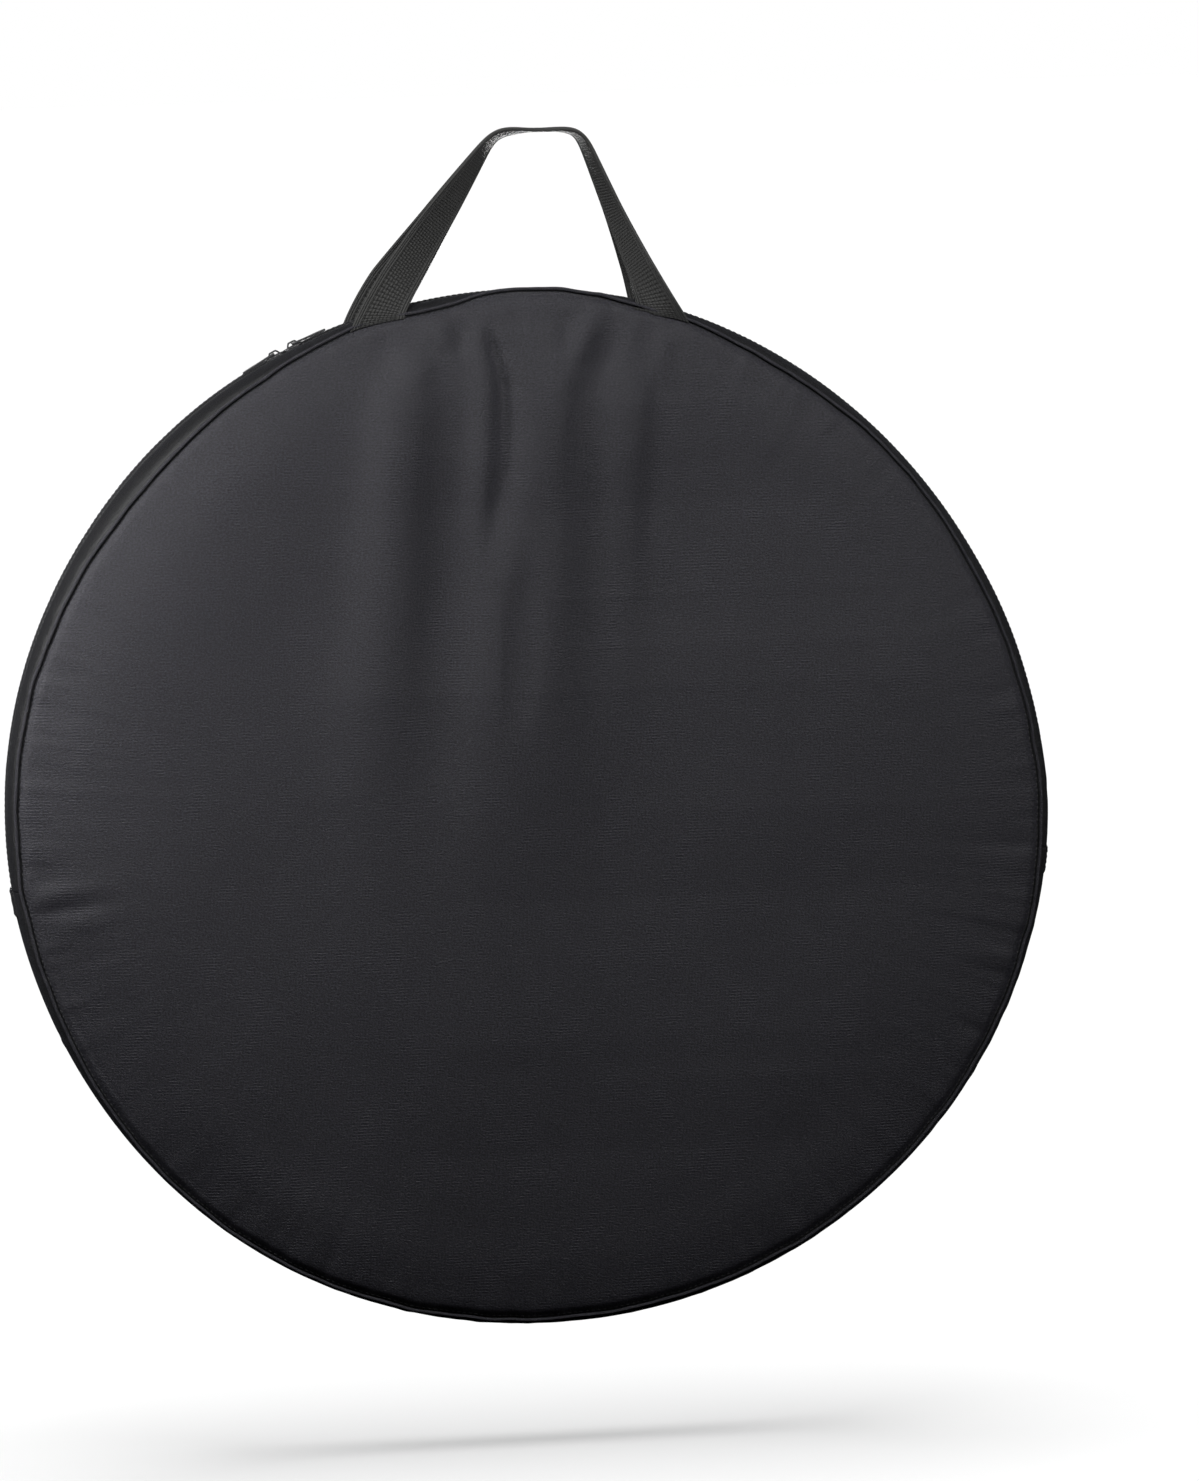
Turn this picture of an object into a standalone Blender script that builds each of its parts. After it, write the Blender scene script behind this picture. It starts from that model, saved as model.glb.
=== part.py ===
"""Round padded bag for one bicycle wheel, hanging from its two webbing handles.

Metres, +Z up. The front side faces -Y and X runs to the right as seen from the front.
The origin is on the bag's middle plane, under the two grips where a hand carries them.
"""

import math

import bmesh
import bpy
from mathutils import Matrix, Vector

# The round bag
BAG_RADIUS = 0.370
GUSSET_BULGE = 0.0075
SEAM_SPACING = 0.060
PANEL_CROWN = 0.0082
CROWN_REACH = 0.111
SEWN_GAP = 0.0003

# Layers of a side panel, from the outside in
PANEL_THICKNESS = 0.0010
FOAM_THICKNESS = 0.0060
LINING_THICKNESS = 0.0008
LAYER_GAP = 0.0004
FOAM_MARGIN = 0.0150
LINING_MARGIN = 0.0095

# Welt in the seam and binding over its raw edge inside
WELT_RADIUS = 0.0012
BINDING_WIDTH = 0.0090
BINDING_THICKNESS = 0.0016

# Stiff patch where the axle end presses
GUARD_RADIUS = 0.033
GUARD_THICKNESS = 0.0020
GUARD_CHAMFER = 0.0006

# Gusset
GUSSET_THICKNESS = 0.0012

# Zip: how far it reaches from the top, and its tape, coil and open channel
ZIP_REACH = math.radians(96)
CHANNEL_HALF_WIDTH = 0.0063
TAPE_EDGE = 0.0140
TAPE_THICKNESS = 0.0005
TOOTH_GAP = 0.0012
COIL_WIDTH = 0.0024
COIL_HEIGHT = 0.0022
END_TAB_LENGTH = 0.0200
END_TAB_WIDTH = 0.0260
END_TAB_THICKNESS = 0.0012

# Zip sliders: the left one's angle from the top towards the left, the room to the right one, and their parts
SLIDER_LEFT_ANGLE = math.radians(27.4)
SLIDER_CLEARANCE = 0.00187
PLATE_LENGTH = 0.0130
PLATE_WIDTH = 0.0110
PLATE_THICKNESS = 0.0012
KEEL_LENGTH = 0.0100
KEEL_WIDTH = 0.0090
KEEL_THICKNESS = 0.0010
POST_LENGTH = 0.0030
POST_WIDTH = 0.0006
BAIL_LENGTH = 0.0090
BAIL_WIDTH = 0.0020
BAIL_WIRE = 0.0012
BAIL_ROOM = 0.0023
FUSE_DEPTH = 0.0002

# Pull tab on a slider's bail
TAB_LENGTH = 0.0260
TAB_WIDTH = 0.0060
TAB_THICKNESS = 0.0012
TAB_BAR = 0.0012
TAB_WINDOW_LENGTH = 0.0050
TAB_WINDOW_WIDTH = 0.0030
TAB_REST_GAP = 0.0003

# Webbing handles
GRIP_RISE = 0.111
GRIP_LENGTH = 0.059
GRIP_OFFSET = 0.0175
GRIP_SPACING = 0.0020
GRIP_BEND = 0.016
WEBBING_WIDTH = 0.030
WEBBING_THICKNESS = 0.0020
HANDLE_ANGLE = math.radians(15.9)
HANDLE_FOOTPRINT = 0.041
LEG_START_RISE = 0.016
LEG_START_LEAN = 0.005
LEG_POINTS = 8
BEND_POINTS = 4
LEFT_TWIST_POWER = 1.3
RIGHT_TWIST_POWER = 0.8

# Facets round the bag and over a curved profile
FACET_ANGLE = math.radians(6)
CROWN_POINTS = 5
FOAM_POINTS = 4
BULGE_POINTS = 4
MERGE_DISTANCE = 0.00005
CUT_OVERRUN = 0.050

# Places worked out from the sizes above
SEAM_HALF = SEAM_SPACING / 2
OUTER_HALF = SEAM_HALF + PANEL_CROWN
SEAM_RADIUS = BAG_RADIUS - GUSSET_BULGE
PANEL_EDGE = SEAM_RADIUS - WELT_RADIUS - SEWN_GAP
FLAT_RADIUS = PANEL_EDGE - CROWN_REACH
CENTRE_Z = -(GRIP_RISE + BAG_RADIUS)
CENTRE = Vector((0, 0, CENTRE_Z))
FOLD_Z = CENTRE_Z + BAG_RADIUS * math.cos(ZIP_REACH)
GAP_ANGLE = SEWN_GAP / BAG_RADIUS
FACET_SAG = BAG_RADIUS * (1 - math.cos(FACET_ANGLE / 2))
UPPER_ARC = (math.pi / 2 - ZIP_REACH + GAP_ANGLE, 2 * (ZIP_REACH - GAP_ANGLE))
LOWER_ARC = (math.pi / 2 + ZIP_REACH + GAP_ANGLE, 2 * (math.pi - ZIP_REACH - GAP_ANGLE))
WHOLE_TURN = (0, 2 * math.pi)
ARCS = {"upper": UPPER_ARC, "lower": LOWER_ARC}
SIDES = ("front", "rear")
GUSSET_EDGE = SEAM_HALF - WELT_RADIUS - SEWN_GAP

PARTS = "bike_wheel_bag"
CUTTERS = "cutters"


def remove_scene_objects():
    for thing in list(bpy.data.objects):
        bpy.data.objects.remove(thing, do_unlink=True)


def collection(name):
    made = bpy.data.collections.new(name)
    bpy.context.scene.collection.children.link(made)
    return made


def material(name, colour, roughness, metallic=0.0):
    made = bpy.data.materials.new(name)
    made.use_nodes = True
    shader = made.node_tree.nodes["Principled BSDF"]
    shader.inputs["Base Color"].default_value = (*colour, 1)
    shader.inputs["Roughness"].default_value = roughness
    shader.inputs["Metallic"].default_value = metallic
    return made


def add_object(name, data, finish, group=PARTS):
    thing = bpy.data.objects.new(name, data)
    bpy.data.collections[group].objects.link(thing)
    if finish:
        thing.data.materials.append(finish)
    return thing


def side_frame(side, start=0):
    """Frame at the bag's centre with Z out of one side and X at a start angle above the horizontal."""
    turn = math.pi if side == "rear" else 0
    facing = Matrix.Rotation(turn, 4, "Z") @ Matrix.Translation(CENTRE)
    return facing @ Matrix.Rotation(math.pi / 2, 4, "X") @ Matrix.Rotation(start, 4, "Z")


def rim_frame(angle, radius):
    """Frame on the zip line at an angle from the top towards the left, with Z away from the bag's centre."""
    lean = Matrix.Translation(CENTRE) @ Matrix.Rotation(-angle, 4, "Y")
    return lean @ Matrix.Translation((0, 0, radius))


def turned(name, profile, side, finish, arc=WHOLE_TURN, wall=0):
    """A profile of (radius, height) points turned about the bag's axis, and given a wall inside if it is open."""
    start, sweep = arc
    mesh = bpy.data.meshes.new(name)
    points = [(radius, 0, height) for radius, height in profile]
    mesh.from_pydata(points, [(k, k + 1) for k in range(len(points) - 1)], [])
    thing = add_object(name, mesh, finish)
    thing.matrix_world = side_frame(side, start)
    screw = thing.modifiers.new("Turn", "SCREW")
    screw.axis = "Z"
    screw.angle = sweep
    screw.steps = screw.render_steps = round(sweep / FACET_ANGLE) or 1
    screw.use_merge_vertices = arc == WHOLE_TURN
    screw.merge_threshold = MERGE_DISTANCE
    if wall:
        shell = thing.modifiers.new("Wall", "SOLIDIFY")
        shell.thickness = wall
        shell.offset = -1
    return thing


def add_boolean(thing, other, operation):
    cut = thing.modifiers.new(other.name, "BOOLEAN")
    cut.operation = operation
    cut.object = other
    cut.solver = "EXACT"


def box_mesh(name, low, high):
    mesh = bpy.data.meshes.new(name)
    shape = bmesh.new()
    size = Vector(high) - Vector(low)
    middle = (Vector(high) + Vector(low)) / 2
    place = Matrix.Translation(middle) @ Matrix.Diagonal((*size, 1))
    bmesh.ops.create_cube(shape, size=1, matrix=place)
    shape.to_mesh(mesh)
    shape.free()
    return mesh


def cutter(name, low, high, frame=None):
    thing = add_object(name, box_mesh(name, low, high), None, CUTTERS)
    thing.matrix_world = frame or Matrix.Identity(4)
    thing.hide_render = True
    thing.display_type = "WIRE"
    return thing


def pivot(name, place):
    """An empty on a joint's axis, which carries the pieces that turn about it."""
    thing = add_object(name, None, None)
    thing.location = place
    return thing


def carry(piece, carrier):
    piece.parent = carrier
    piece.matrix_parent_inverse = Matrix.Translation(carrier.location).inverted()


def crown_height(radius):
    """How far a side panel's outer face stands from the middle plane."""
    share = max(0, (radius - FLAT_RADIUS) / CROWN_REACH)
    return SEAM_HALF + PANEL_CROWN * math.sqrt(max(0, 1 - share**2))


def crown_radii(margin, count):
    """Radii from the flat middle to a margin inside the panel's edge, closer where the crown falls faster."""
    last = math.asin(1 - margin / CROWN_REACH)
    return [FLAT_RADIUS + CROWN_REACH * math.sin(last * k / count) for k in range(count + 1)]


def bulge_radius(height):
    """Outer radius of the gusset at a height from the middle plane."""
    share = min(1, abs(height) / GUSSET_EDGE)
    return SEAM_RADIUS + GUSSET_BULGE * math.sqrt(1 - share**2)


def bulge_heights(low, count):
    """Heights from the gusset's edge down to a low one, closer together towards the edge."""
    last = math.asin(low / GUSSET_EDGE)
    step = (math.pi / 2 - last) / count
    return [GUSSET_EDGE * math.sin(math.pi / 2 - step * k) for k in range(count + 1)]


TAPE_TOP = bulge_radius(TAPE_EDGE) - GUSSET_THICKNESS - SEWN_GAP
COIL_BASE = TAPE_TOP + SEWN_GAP
COIL_TOP = COIL_BASE + COIL_HEIGHT
SLIDER_SEAT = COIL_TOP + SEWN_GAP
SLIDER_RIGHT_ANGLE = SLIDER_LEFT_ANGLE - (PLATE_LENGTH + SLIDER_CLEARANCE) / SLIDER_SEAT
KEEL_TOP = TAPE_TOP - TAPE_THICKNESS - FACET_SAG - SEWN_GAP


def halve(piece, half):
    """Leaves one side of the fold line of a whole round sheet."""
    other_half = "below_fold" if half == "upper" else "above_fold"
    add_boolean(piece, bpy.data.objects[other_half], "DIFFERENCE")


def add_fold_cutters():
    reach = BAG_RADIUS + CUT_OVERRUN
    gap = SEWN_GAP / 2
    cutter("below_fold", (-reach, -reach, CENTRE_Z - reach), (reach, reach, FOLD_Z + gap))
    cutter("above_fold", (-reach, -reach, FOLD_Z - gap), (reach, reach, CENTRE_Z + reach))


def side_panel(side, half, finish):
    """Outer fabric of one side: flat in the middle and rounded over to its seam."""
    profile = [(0, OUTER_HALF)]
    profile += [(radius, crown_height(radius)) for radius in crown_radii(0, CROWN_POINTS)]
    sheet = turned(f"{side}_panel_{half}", profile, side, finish, wall=PANEL_THICKNESS)
    halve(sheet, half)
    return sheet


def panel_foam(side, half, finish):
    depth = PANEL_THICKNESS + LAYER_GAP
    reach = PANEL_EDGE - FOAM_MARGIN
    back = OUTER_HALF - depth - FOAM_THICKNESS
    profile = [(0, OUTER_HALF - depth)]
    profile += [(radius, crown_height(radius) - depth) for radius in crown_radii(FOAM_MARGIN, FOAM_POINTS)]
    profile += [(reach, back), (0, back)]
    sheet = turned(f"{side}_foam_{half}", profile, side, finish)
    halve(sheet, half)
    return sheet


def lining_face():
    """Height of the lining's outer face, just behind the foam."""
    return OUTER_HALF - PANEL_THICKNESS - FOAM_THICKNESS - 2 * LAYER_GAP


def panel_lining(side, half, finish):
    reach = PANEL_EDGE - LINING_MARGIN
    face = lining_face()
    back = face - LINING_THICKNESS
    profile = [(0, face), (reach, face), (reach, back), (0, back)]
    sheet = turned(f"{side}_lining_{half}", profile, side, finish)
    halve(sheet, half)
    return sheet


def hub_guard(side, finish):
    face = lining_face() - LINING_THICKNESS - SEWN_GAP
    back = face - GUARD_THICKNESS
    profile = [
        (0, face),
        (GUARD_RADIUS, face),
        (GUARD_RADIUS, back + GUARD_CHAMFER),
        (GUARD_RADIUS - GUARD_CHAMFER, back),
        (0, back),
    ]
    return turned(f"{side}_hub_guard", profile, side, finish)


def welt(side, half, finish):
    """Thin round welt along the edge seam."""
    start, sweep = ARCS[half]
    count = round(sweep / FACET_ANGLE)
    curve = bpy.data.curves.new(f"{side}_piping_{half}", "CURVE")
    curve.dimensions = "3D"
    spline = curve.splines.new("POLY")
    spline.points.add(count)
    for k, point in enumerate(spline.points):
        angle = sweep * k / count
        place = (SEAM_RADIUS * math.cos(angle), SEAM_RADIUS * math.sin(angle), SEAM_HALF)
        point.co = (*place, 1)
    curve.bevel_depth = WELT_RADIUS
    curve.bevel_resolution = 2
    curve.use_fill_caps = True
    cord = add_object(curve.name, curve, finish)
    cord.matrix_world = side_frame(side, start)
    return cord


def seam_binding(side, half, finish):
    """Tape bound over the raw edges of the seam, standing inwards from it."""
    top = SEAM_HALF - PANEL_THICKNESS - SEWN_GAP
    outer = SEAM_RADIUS - GUSSET_THICKNESS - SEWN_GAP
    profile = [(outer - BINDING_WIDTH, top), (outer, top)]
    return turned(f"{side}_binding_{half}", profile, side, finish, ARCS[half], BINDING_THICKNESS)


def gusset_band(side, finish):
    """Upper gusset between one edge seam and the zip."""
    profile = [(bulge_radius(h), h) for h in bulge_heights(CHANNEL_HALF_WIDTH, BULGE_POINTS)]
    return turned(f"{side}_gusset_band", profile, side, finish, UPPER_ARC, GUSSET_THICKNESS)


def gusset_bottom(finish):
    """Lower gusset, one strip from seam to seam."""
    upper = bulge_heights(0, BULGE_POINTS + 1)
    heights = upper + [-h for h in reversed(upper[:-1])]
    profile = [(bulge_radius(h), h) for h in heights]
    return turned("gusset_bottom", profile, "front", finish, LOWER_ARC, GUSSET_THICKNESS)


def zip_end_tab(name, angle, finish):
    """Short tab sewn over an end of the zip, at an angle above the horizontal on the right."""
    half = END_TAB_WIDTH / 2
    raise_by = END_TAB_THICKNESS + SEWN_GAP
    heights = [half, half / 2, 0, -half / 2, -half]
    profile = [(bulge_radius(h) + raise_by, h) for h in heights]
    span = END_TAB_LENGTH / BAG_RADIUS
    return turned(name, profile, "front", finish, (angle, span), END_TAB_THICKNESS)


def zip_tape(side, finish):
    profile = [(TAPE_TOP, TAPE_EDGE), (TAPE_TOP, TOOTH_GAP / 2)]
    return turned(f"{side}_zip_tape", profile, side, finish, UPPER_ARC, TAPE_THICKNESS)


def zip_coil(side, finish):
    low = TOOTH_GAP / 2
    profile = [(COIL_TOP, low + COIL_WIDTH), (COIL_TOP, low)]
    return turned(f"{side}_zip_coil", profile, side, finish, UPPER_ARC, COIL_HEIGHT)


def zip_slider(name, angle, finish):
    """Top plate over the coil, keel under the tape, a post between the teeth and a bail on top."""
    frame = rim_frame(angle, SLIDER_SEAT)
    half = Vector((PLATE_LENGTH / 2, PLATE_WIDTH / 2, 0))
    body = add_object(name, box_mesh(name, -half, half + Vector((0, 0, PLATE_THICKNESS))), finish)
    body.matrix_world = frame
    keel_top = KEEL_TOP - SLIDER_SEAT
    keel_low = keel_top - KEEL_THICKNESS
    bail_top = PLATE_THICKNESS + BAIL_ROOM + BAIL_WIRE
    room = BAIL_LENGTH / 2 - BAIL_WIRE
    pieces = {
        "post": ((POST_LENGTH / 2, POST_WIDTH / 2), keel_top - FUSE_DEPTH, FUSE_DEPTH),
        "keel": ((KEEL_LENGTH / 2, KEEL_WIDTH / 2), keel_low, keel_top),
        "bail": ((BAIL_LENGTH / 2, BAIL_WIDTH / 2), PLATE_THICKNESS - FUSE_DEPTH, bail_top),
    }
    for piece, ((x, y), low, high) in pieces.items():
        block = cutter(f"{name}_{piece}", (-x, -y, low), (x, y, high), frame)
        add_boolean(body, block, "UNION")
    window_low = (-room, -BAIL_WIDTH, PLATE_THICKNESS + FUSE_DEPTH)
    window_high = (room, BAIL_WIDTH, PLATE_THICKNESS + BAIL_ROOM)
    add_boolean(body, cutter(f"{name}_window", window_low, window_high, frame), "DIFFERENCE")
    return body


def pull_tab(name, angle, heading, finish):
    """Flat tab whose bar turns in the slider's bail. Its heading is 0 to the right and half a turn to the left."""
    axis = PLATE_THICKNESS + (BAIL_ROOM + FUSE_DEPTH) / 2
    room_below = axis - PLATE_THICKNESS - TAB_THICKNESS / 2 - TAB_REST_GAP
    tilt = math.atan(room_below / (PLATE_LENGTH / 2))
    bar = TAB_BAR / 2
    side = TAB_WIDTH / 2
    tip = side / 2
    window = TAB_WINDOW_WIDTH / 2
    end = TAB_LENGTH - bar
    outline = [(-bar, -side), (end - tip, -side), (end, -tip), (end, tip), (end - tip, side), (-bar, side)]
    hole = [(bar, -window), (bar, window), (bar + TAB_WINDOW_LENGTH, window), (bar + TAB_WINDOW_LENGTH, -window)]
    curve = bpy.data.curves.new(name, "CURVE")
    curve.dimensions = "2D"
    curve.fill_mode = "BOTH"
    curve.extrude = TAB_THICKNESS / 2
    for points in (outline, hole):
        spline = curve.splines.new("POLY")
        spline.points.add(len(points) - 1)
        spline.use_cyclic_u = True
        for point, (x, y) in zip(spline.points, points):
            point.co = (x, y, 0, 1)
    tab = add_object(name, curve, finish)
    place = rim_frame(angle, SLIDER_SEAT + axis)
    tab.matrix_world = place @ Matrix.Rotation(heading, 4, "Z") @ Matrix.Rotation(tilt, 4, "Y")
    return tab


def handle_foot(side_sign, hand):
    """Middle of a handle's foot on the edge seam, outside the welt. The sign is -1 at the front and on the left."""
    out = SEAM_HALF + WELT_RADIUS + SEWN_GAP + WEBBING_THICKNESS / 2
    across = SEAM_RADIUS * math.sin(HANDLE_ANGLE)
    return Vector((hand * across, side_sign * out, CENTRE_Z + SEAM_RADIUS * math.cos(HANDLE_ANGLE)))


def smooth_corner(before, corner, after):
    """Points of a soft bend at a corner of the handle's route."""
    start = corner + (before - corner).normalized() * GRIP_BEND
    end = corner + (after - corner).normalized() * GRIP_BEND
    points = []
    for k in range(BEND_POINTS + 1):
        t = k / BEND_POINTS
        points.append(start * (1 - t) ** 2 + corner * (2 * t * (1 - t)) + end * t**2)
    return points


def leg_points(foot, hand, top):
    """Points of a leg up from its foot, steep at first and then straight towards the grip."""
    start = foot + Vector((-hand * LEG_START_LEAN, 0, LEG_START_RISE))
    return [foot] + [start.lerp(top, k / LEG_POINTS) for k in range(LEG_POINTS)]


def handle_route(side_sign):
    """Middle line of one handle, from its left foot over the grip to its right foot."""
    left, right = handle_foot(side_sign, -1), handle_foot(side_sign, 1)
    beside = side_sign * (WEBBING_WIDTH + GRIP_SPACING) / 2
    rise = WEBBING_THICKNESS / 2
    corners = [Vector((GRIP_OFFSET + s * GRIP_LENGTH / 2, beside, rise)) for s in (-1, 1)]
    up = smooth_corner(left, corners[0], corners[1])
    down = smooth_corner(corners[0], corners[1], right)
    leg_up = leg_points(left, -1, up[0])
    leg_down = leg_points(right, 1, down[-1])
    return leg_up + up + [(up[-1] + down[0]) / 2] + down + leg_down[::-1]


def webbing_handle(name, side_sign, finish):
    """Flat strap that faces outwards at its feet and turns a quarter to lie flat on the fingers at the grip."""
    route = handle_route(side_sign)
    middle = len(route) // 2
    lengths = [0]
    for before, after in zip(route, route[1:]):
        lengths.append(lengths[-1] + (after - before).length)
    slope = Vector((math.cos(HANDLE_ANGLE), 0, math.sin(HANDLE_ANGLE)))
    foot_half = slope * HANDLE_FOOTPRINT / 2
    shape = bmesh.new()
    rungs = []
    for k, point in enumerate(route):
        along = (route[min(k + 1, len(route) - 1)] - route[max(k - 1, 0)]).normalized()
        flat = Vector((along.z, 0, -along.x)).normalized()
        leg = lengths[middle] if k <= middle else lengths[-1] - lengths[middle]
        travelled = lengths[k] if k <= middle else lengths[-1] - lengths[k]
        power = LEFT_TWIST_POWER if k <= middle else RIGHT_TWIST_POWER
        twist = math.pi / 2 * (travelled / leg) ** power
        half = (flat * math.cos(twist) + along.cross(flat) * math.sin(twist)) * WEBBING_WIDTH / 2
        if k == 0:
            half = foot_half
        if k == len(route) - 1:
            half = Vector((-foot_half.x, 0, foot_half.z))
        rungs.append([shape.verts.new(point - half), shape.verts.new(point + half)])
    for (a, b), (c, d) in zip(rungs, rungs[1:]):
        shape.faces.new((a, b, d, c))
    mesh = bpy.data.meshes.new(name)
    shape.to_mesh(mesh)
    shape.free()
    strap = add_object(name, mesh, finish)
    thickness = strap.modifiers.new("Thickness", "SOLIDIFY")
    thickness.thickness = WEBBING_THICKNESS
    thickness.offset = 0
    return strap


def swing_axis(side_sign):
    """Where a handle bends: level with the lowest corner of its feet."""
    foot = handle_foot(side_sign, 1)
    drop = HANDLE_FOOTPRINT / 2 * math.sin(HANDLE_ANGLE)
    return Vector((0, foot.y, foot.z - drop))


def build_side(side, finishes):
    """The panel layers, seam and zip half of one side. Its upper pieces turn about the fold line."""
    sign = 1 if side == "rear" else -1
    flap = pivot(f"{side}_flap_fold", (0, sign * OUTER_HALF, FOLD_Z))
    for half in ARCS:
        pieces = [
            side_panel(side, half, finishes["shell"]),
            panel_foam(side, half, finishes["foam"]),
            panel_lining(side, half, finishes["lining"]),
            welt(side, half, finishes["welt"]),
            seam_binding(side, half, finishes["binding"]),
        ]
        if half == "upper":
            pieces.append(hub_guard(side, finishes["guard"]))
            pieces.append(gusset_band(side, finishes["gusset"]))
            pieces.append(zip_tape(side, finishes["tape"]))
            pieces.append(zip_coil(side, finishes["coil"]))
            for piece in pieces:
                carry(piece, flap)
    swing = pivot(f"handle_{side}_swing", swing_axis(sign))
    carry(webbing_handle(f"handle_{side}", sign, finishes["webbing"]), swing)


def build_zip_ends(finishes):
    span = END_TAB_LENGTH / BAG_RADIUS
    start = LOWER_ARC[0]
    zip_end_tab("zip_end_tab_left", start, finishes["gusset"])
    zip_end_tab("zip_end_tab_right", start + LOWER_ARC[1] - span, finishes["gusset"])


def build_sliders(finishes):
    """Both sliders turn about the bag's centre as they run, and each pull tab turns in its bail."""
    runs = {"left": (SLIDER_LEFT_ANGLE, math.pi), "right": (SLIDER_RIGHT_ANGLE, 0)}
    for hand, (angle, heading) in runs.items():
        run = pivot(f"slider_{hand}_run", CENTRE)
        carry(zip_slider(f"slider_{hand}", angle, finishes["metal"]), run)
        pull_tab(f"pull_{hand}", angle, heading, finishes["metal"])


def make_finishes():
    return {
        "shell": material("shell_fabric", (0.040, 0.040, 0.044), 0.75),
        "gusset": material("gusset_fabric", (0.036, 0.036, 0.039), 0.75),
        "foam": material("grey_foam", (0.18, 0.18, 0.19), 0.95),
        "lining": material("lining_fabric", (0.060, 0.060, 0.065), 0.70),
        "welt": material("welt_cord", (0.050, 0.050, 0.054), 0.65),
        "binding": material("binding_tape", (0.030, 0.030, 0.032), 0.85),
        "guard": material("hub_guard_plastic", (0.020, 0.020, 0.021), 0.45),
        "tape": material("zip_tape_fabric", (0.022, 0.022, 0.024), 0.85),
        "coil": material("zip_coil_plastic", (0.018, 0.018, 0.019), 0.40),
        "webbing": material("webbing", (0.045, 0.046, 0.042), 0.80),
        "metal": material("slider_metal", (0.060, 0.060, 0.062), 0.35, 0.9),
    }


def main():
    remove_scene_objects()
    collection(PARTS)
    collection(CUTTERS)
    finishes = make_finishes()
    add_fold_cutters()
    for side in SIDES:
        build_side(side, finishes)
    gusset_bottom(finishes["gusset"])
    build_zip_ends(finishes)
    build_sliders(finishes)
    bpy.context.view_layer.update()


main()
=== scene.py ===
"""Looks of a round padded bag for one bicycle wheel, hanging from its two webbing handles.

Metres, +Z up. The front side faces -Y and X runs to the right as seen from the front.
Angles round the bag are measured from the top, positive towards +X.
"""

import math

import bmesh
import bpy
import numpy as np
from bpy.props import FloatProperty, FloatVectorProperty, IntProperty, PointerProperty
from mathutils import Matrix, Vector


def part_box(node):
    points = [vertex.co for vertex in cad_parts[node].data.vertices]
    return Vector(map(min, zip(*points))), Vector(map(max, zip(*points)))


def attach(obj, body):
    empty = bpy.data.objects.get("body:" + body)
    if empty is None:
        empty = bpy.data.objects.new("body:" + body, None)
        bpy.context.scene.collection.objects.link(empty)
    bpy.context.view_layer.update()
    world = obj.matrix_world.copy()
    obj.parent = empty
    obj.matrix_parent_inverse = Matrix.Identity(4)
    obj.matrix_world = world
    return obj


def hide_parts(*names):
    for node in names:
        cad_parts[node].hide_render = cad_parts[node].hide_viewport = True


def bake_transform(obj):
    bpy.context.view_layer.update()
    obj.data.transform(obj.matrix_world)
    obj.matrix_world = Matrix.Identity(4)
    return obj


bl_info = {
    "name": "Bike wheel bag",
    "version": (1, 0, 0),
    "blender": (4, 5, 0),
    "location": "3D View > Sidebar > Wheel Bag",
    "description": "Dresses a round padded wheel bag in cloth, foam, zip and webbing",
    "category": "Add Mesh",
}

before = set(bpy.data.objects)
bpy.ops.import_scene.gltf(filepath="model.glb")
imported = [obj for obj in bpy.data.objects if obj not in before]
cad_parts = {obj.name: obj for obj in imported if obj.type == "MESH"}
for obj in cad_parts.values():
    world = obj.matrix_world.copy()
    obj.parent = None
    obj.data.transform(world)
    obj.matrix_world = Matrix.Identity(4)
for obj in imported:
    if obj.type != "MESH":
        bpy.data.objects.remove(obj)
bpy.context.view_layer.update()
GUARD_LOW, GUARD_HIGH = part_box("front_hub_guard")
PANEL_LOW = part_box("front_panel_upper")[0]

MM = 0.001
SIDES = {"front": -1, "rear": 1}
HANDS = {"left": -1, "right": 1}
CENTRE = Vector((0, 0, (GUARD_LOW.z + GUARD_HIGH.z) / 2))
MIDDLE = np.array(CENTRE)
OUTER_HALF = -PANEL_LOW.y

# The round bag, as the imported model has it
BAG_RADIUS = 0.370
SEAM_RADIUS = 0.3625
SEAM_HALF = 0.030
FLAT_RADIUS = 0.250
PANEL_EDGE = 0.361
COVER_LOWEST = 0.0321
LINING_EDGE = 0.3515
LINING_FACE = 0.0304
LINING_THICKNESS = 0.0008
GUARD_SEAT = 0.0288
FOAM_EDGE = 0.346
FOAM_BACK = 0.0308
GUSSET_THICKNESS = 0.0012
GUSSET_EDGE = 0.0285
CHANNEL_HALF = 0.0063
ZIP_REACH = math.radians(96)
ZIP_GAP = 0.0004
END_TAB_SPAN = 0.020 / BAG_RADIUS
END_TAB_THICKNESS = 0.0010
TAPE_TOP = 0.36753
TAPE_THICKNESS = 0.0005
TAPE_EDGE = 0.0140
COIL_BASE = 0.36783
COIL_TOP = 0.37003
SLIDER_SEAT = COIL_TOP + 0.0003
SLIDER_ANGLES = {"left": (-27.4, math.pi), "right": (-25.0994, 0)}

# How much deeper the folds are than their tables say, and the broad dip of the front side round its upper middle
FOLD_GAIN = 1.35
DIP_DEPTH, DIP_WIDTH, DIP_UP = 0.0100, 0.110, 0.120
DIP_ABOVE, DIP_BELOW = 0.100, 0.150

# How far a cover may drop at its rim, how softly it meets its lowest height, and how far its cloth may swell
RIM_DROP = 0.0040
EASED_OVER = 0.0007
CLOTH_FRAMES = 20
SWELL_CAP = 0.0018

# How far past its rim, in shares of its radius, and how deep a cover turns into the seam, and its groove at the welt
TUCK_REACH, TUCK_DEPTH = 0.03, 0.0026
GROOVE_DEPTH = 0.0016

# Meshes of the foam and the lining, how far the foam stays below its cover, its least thickness, and how far the
# lining hangs below its face and waves
PAD_CELLS, PAD_RINGS = 88, 26
FOAM_BELOW = 0.0016
FOAM_LEAST = 0.0005
LINING_SAG, LINING_WAVE = 0.0007, 0.0004

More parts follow.
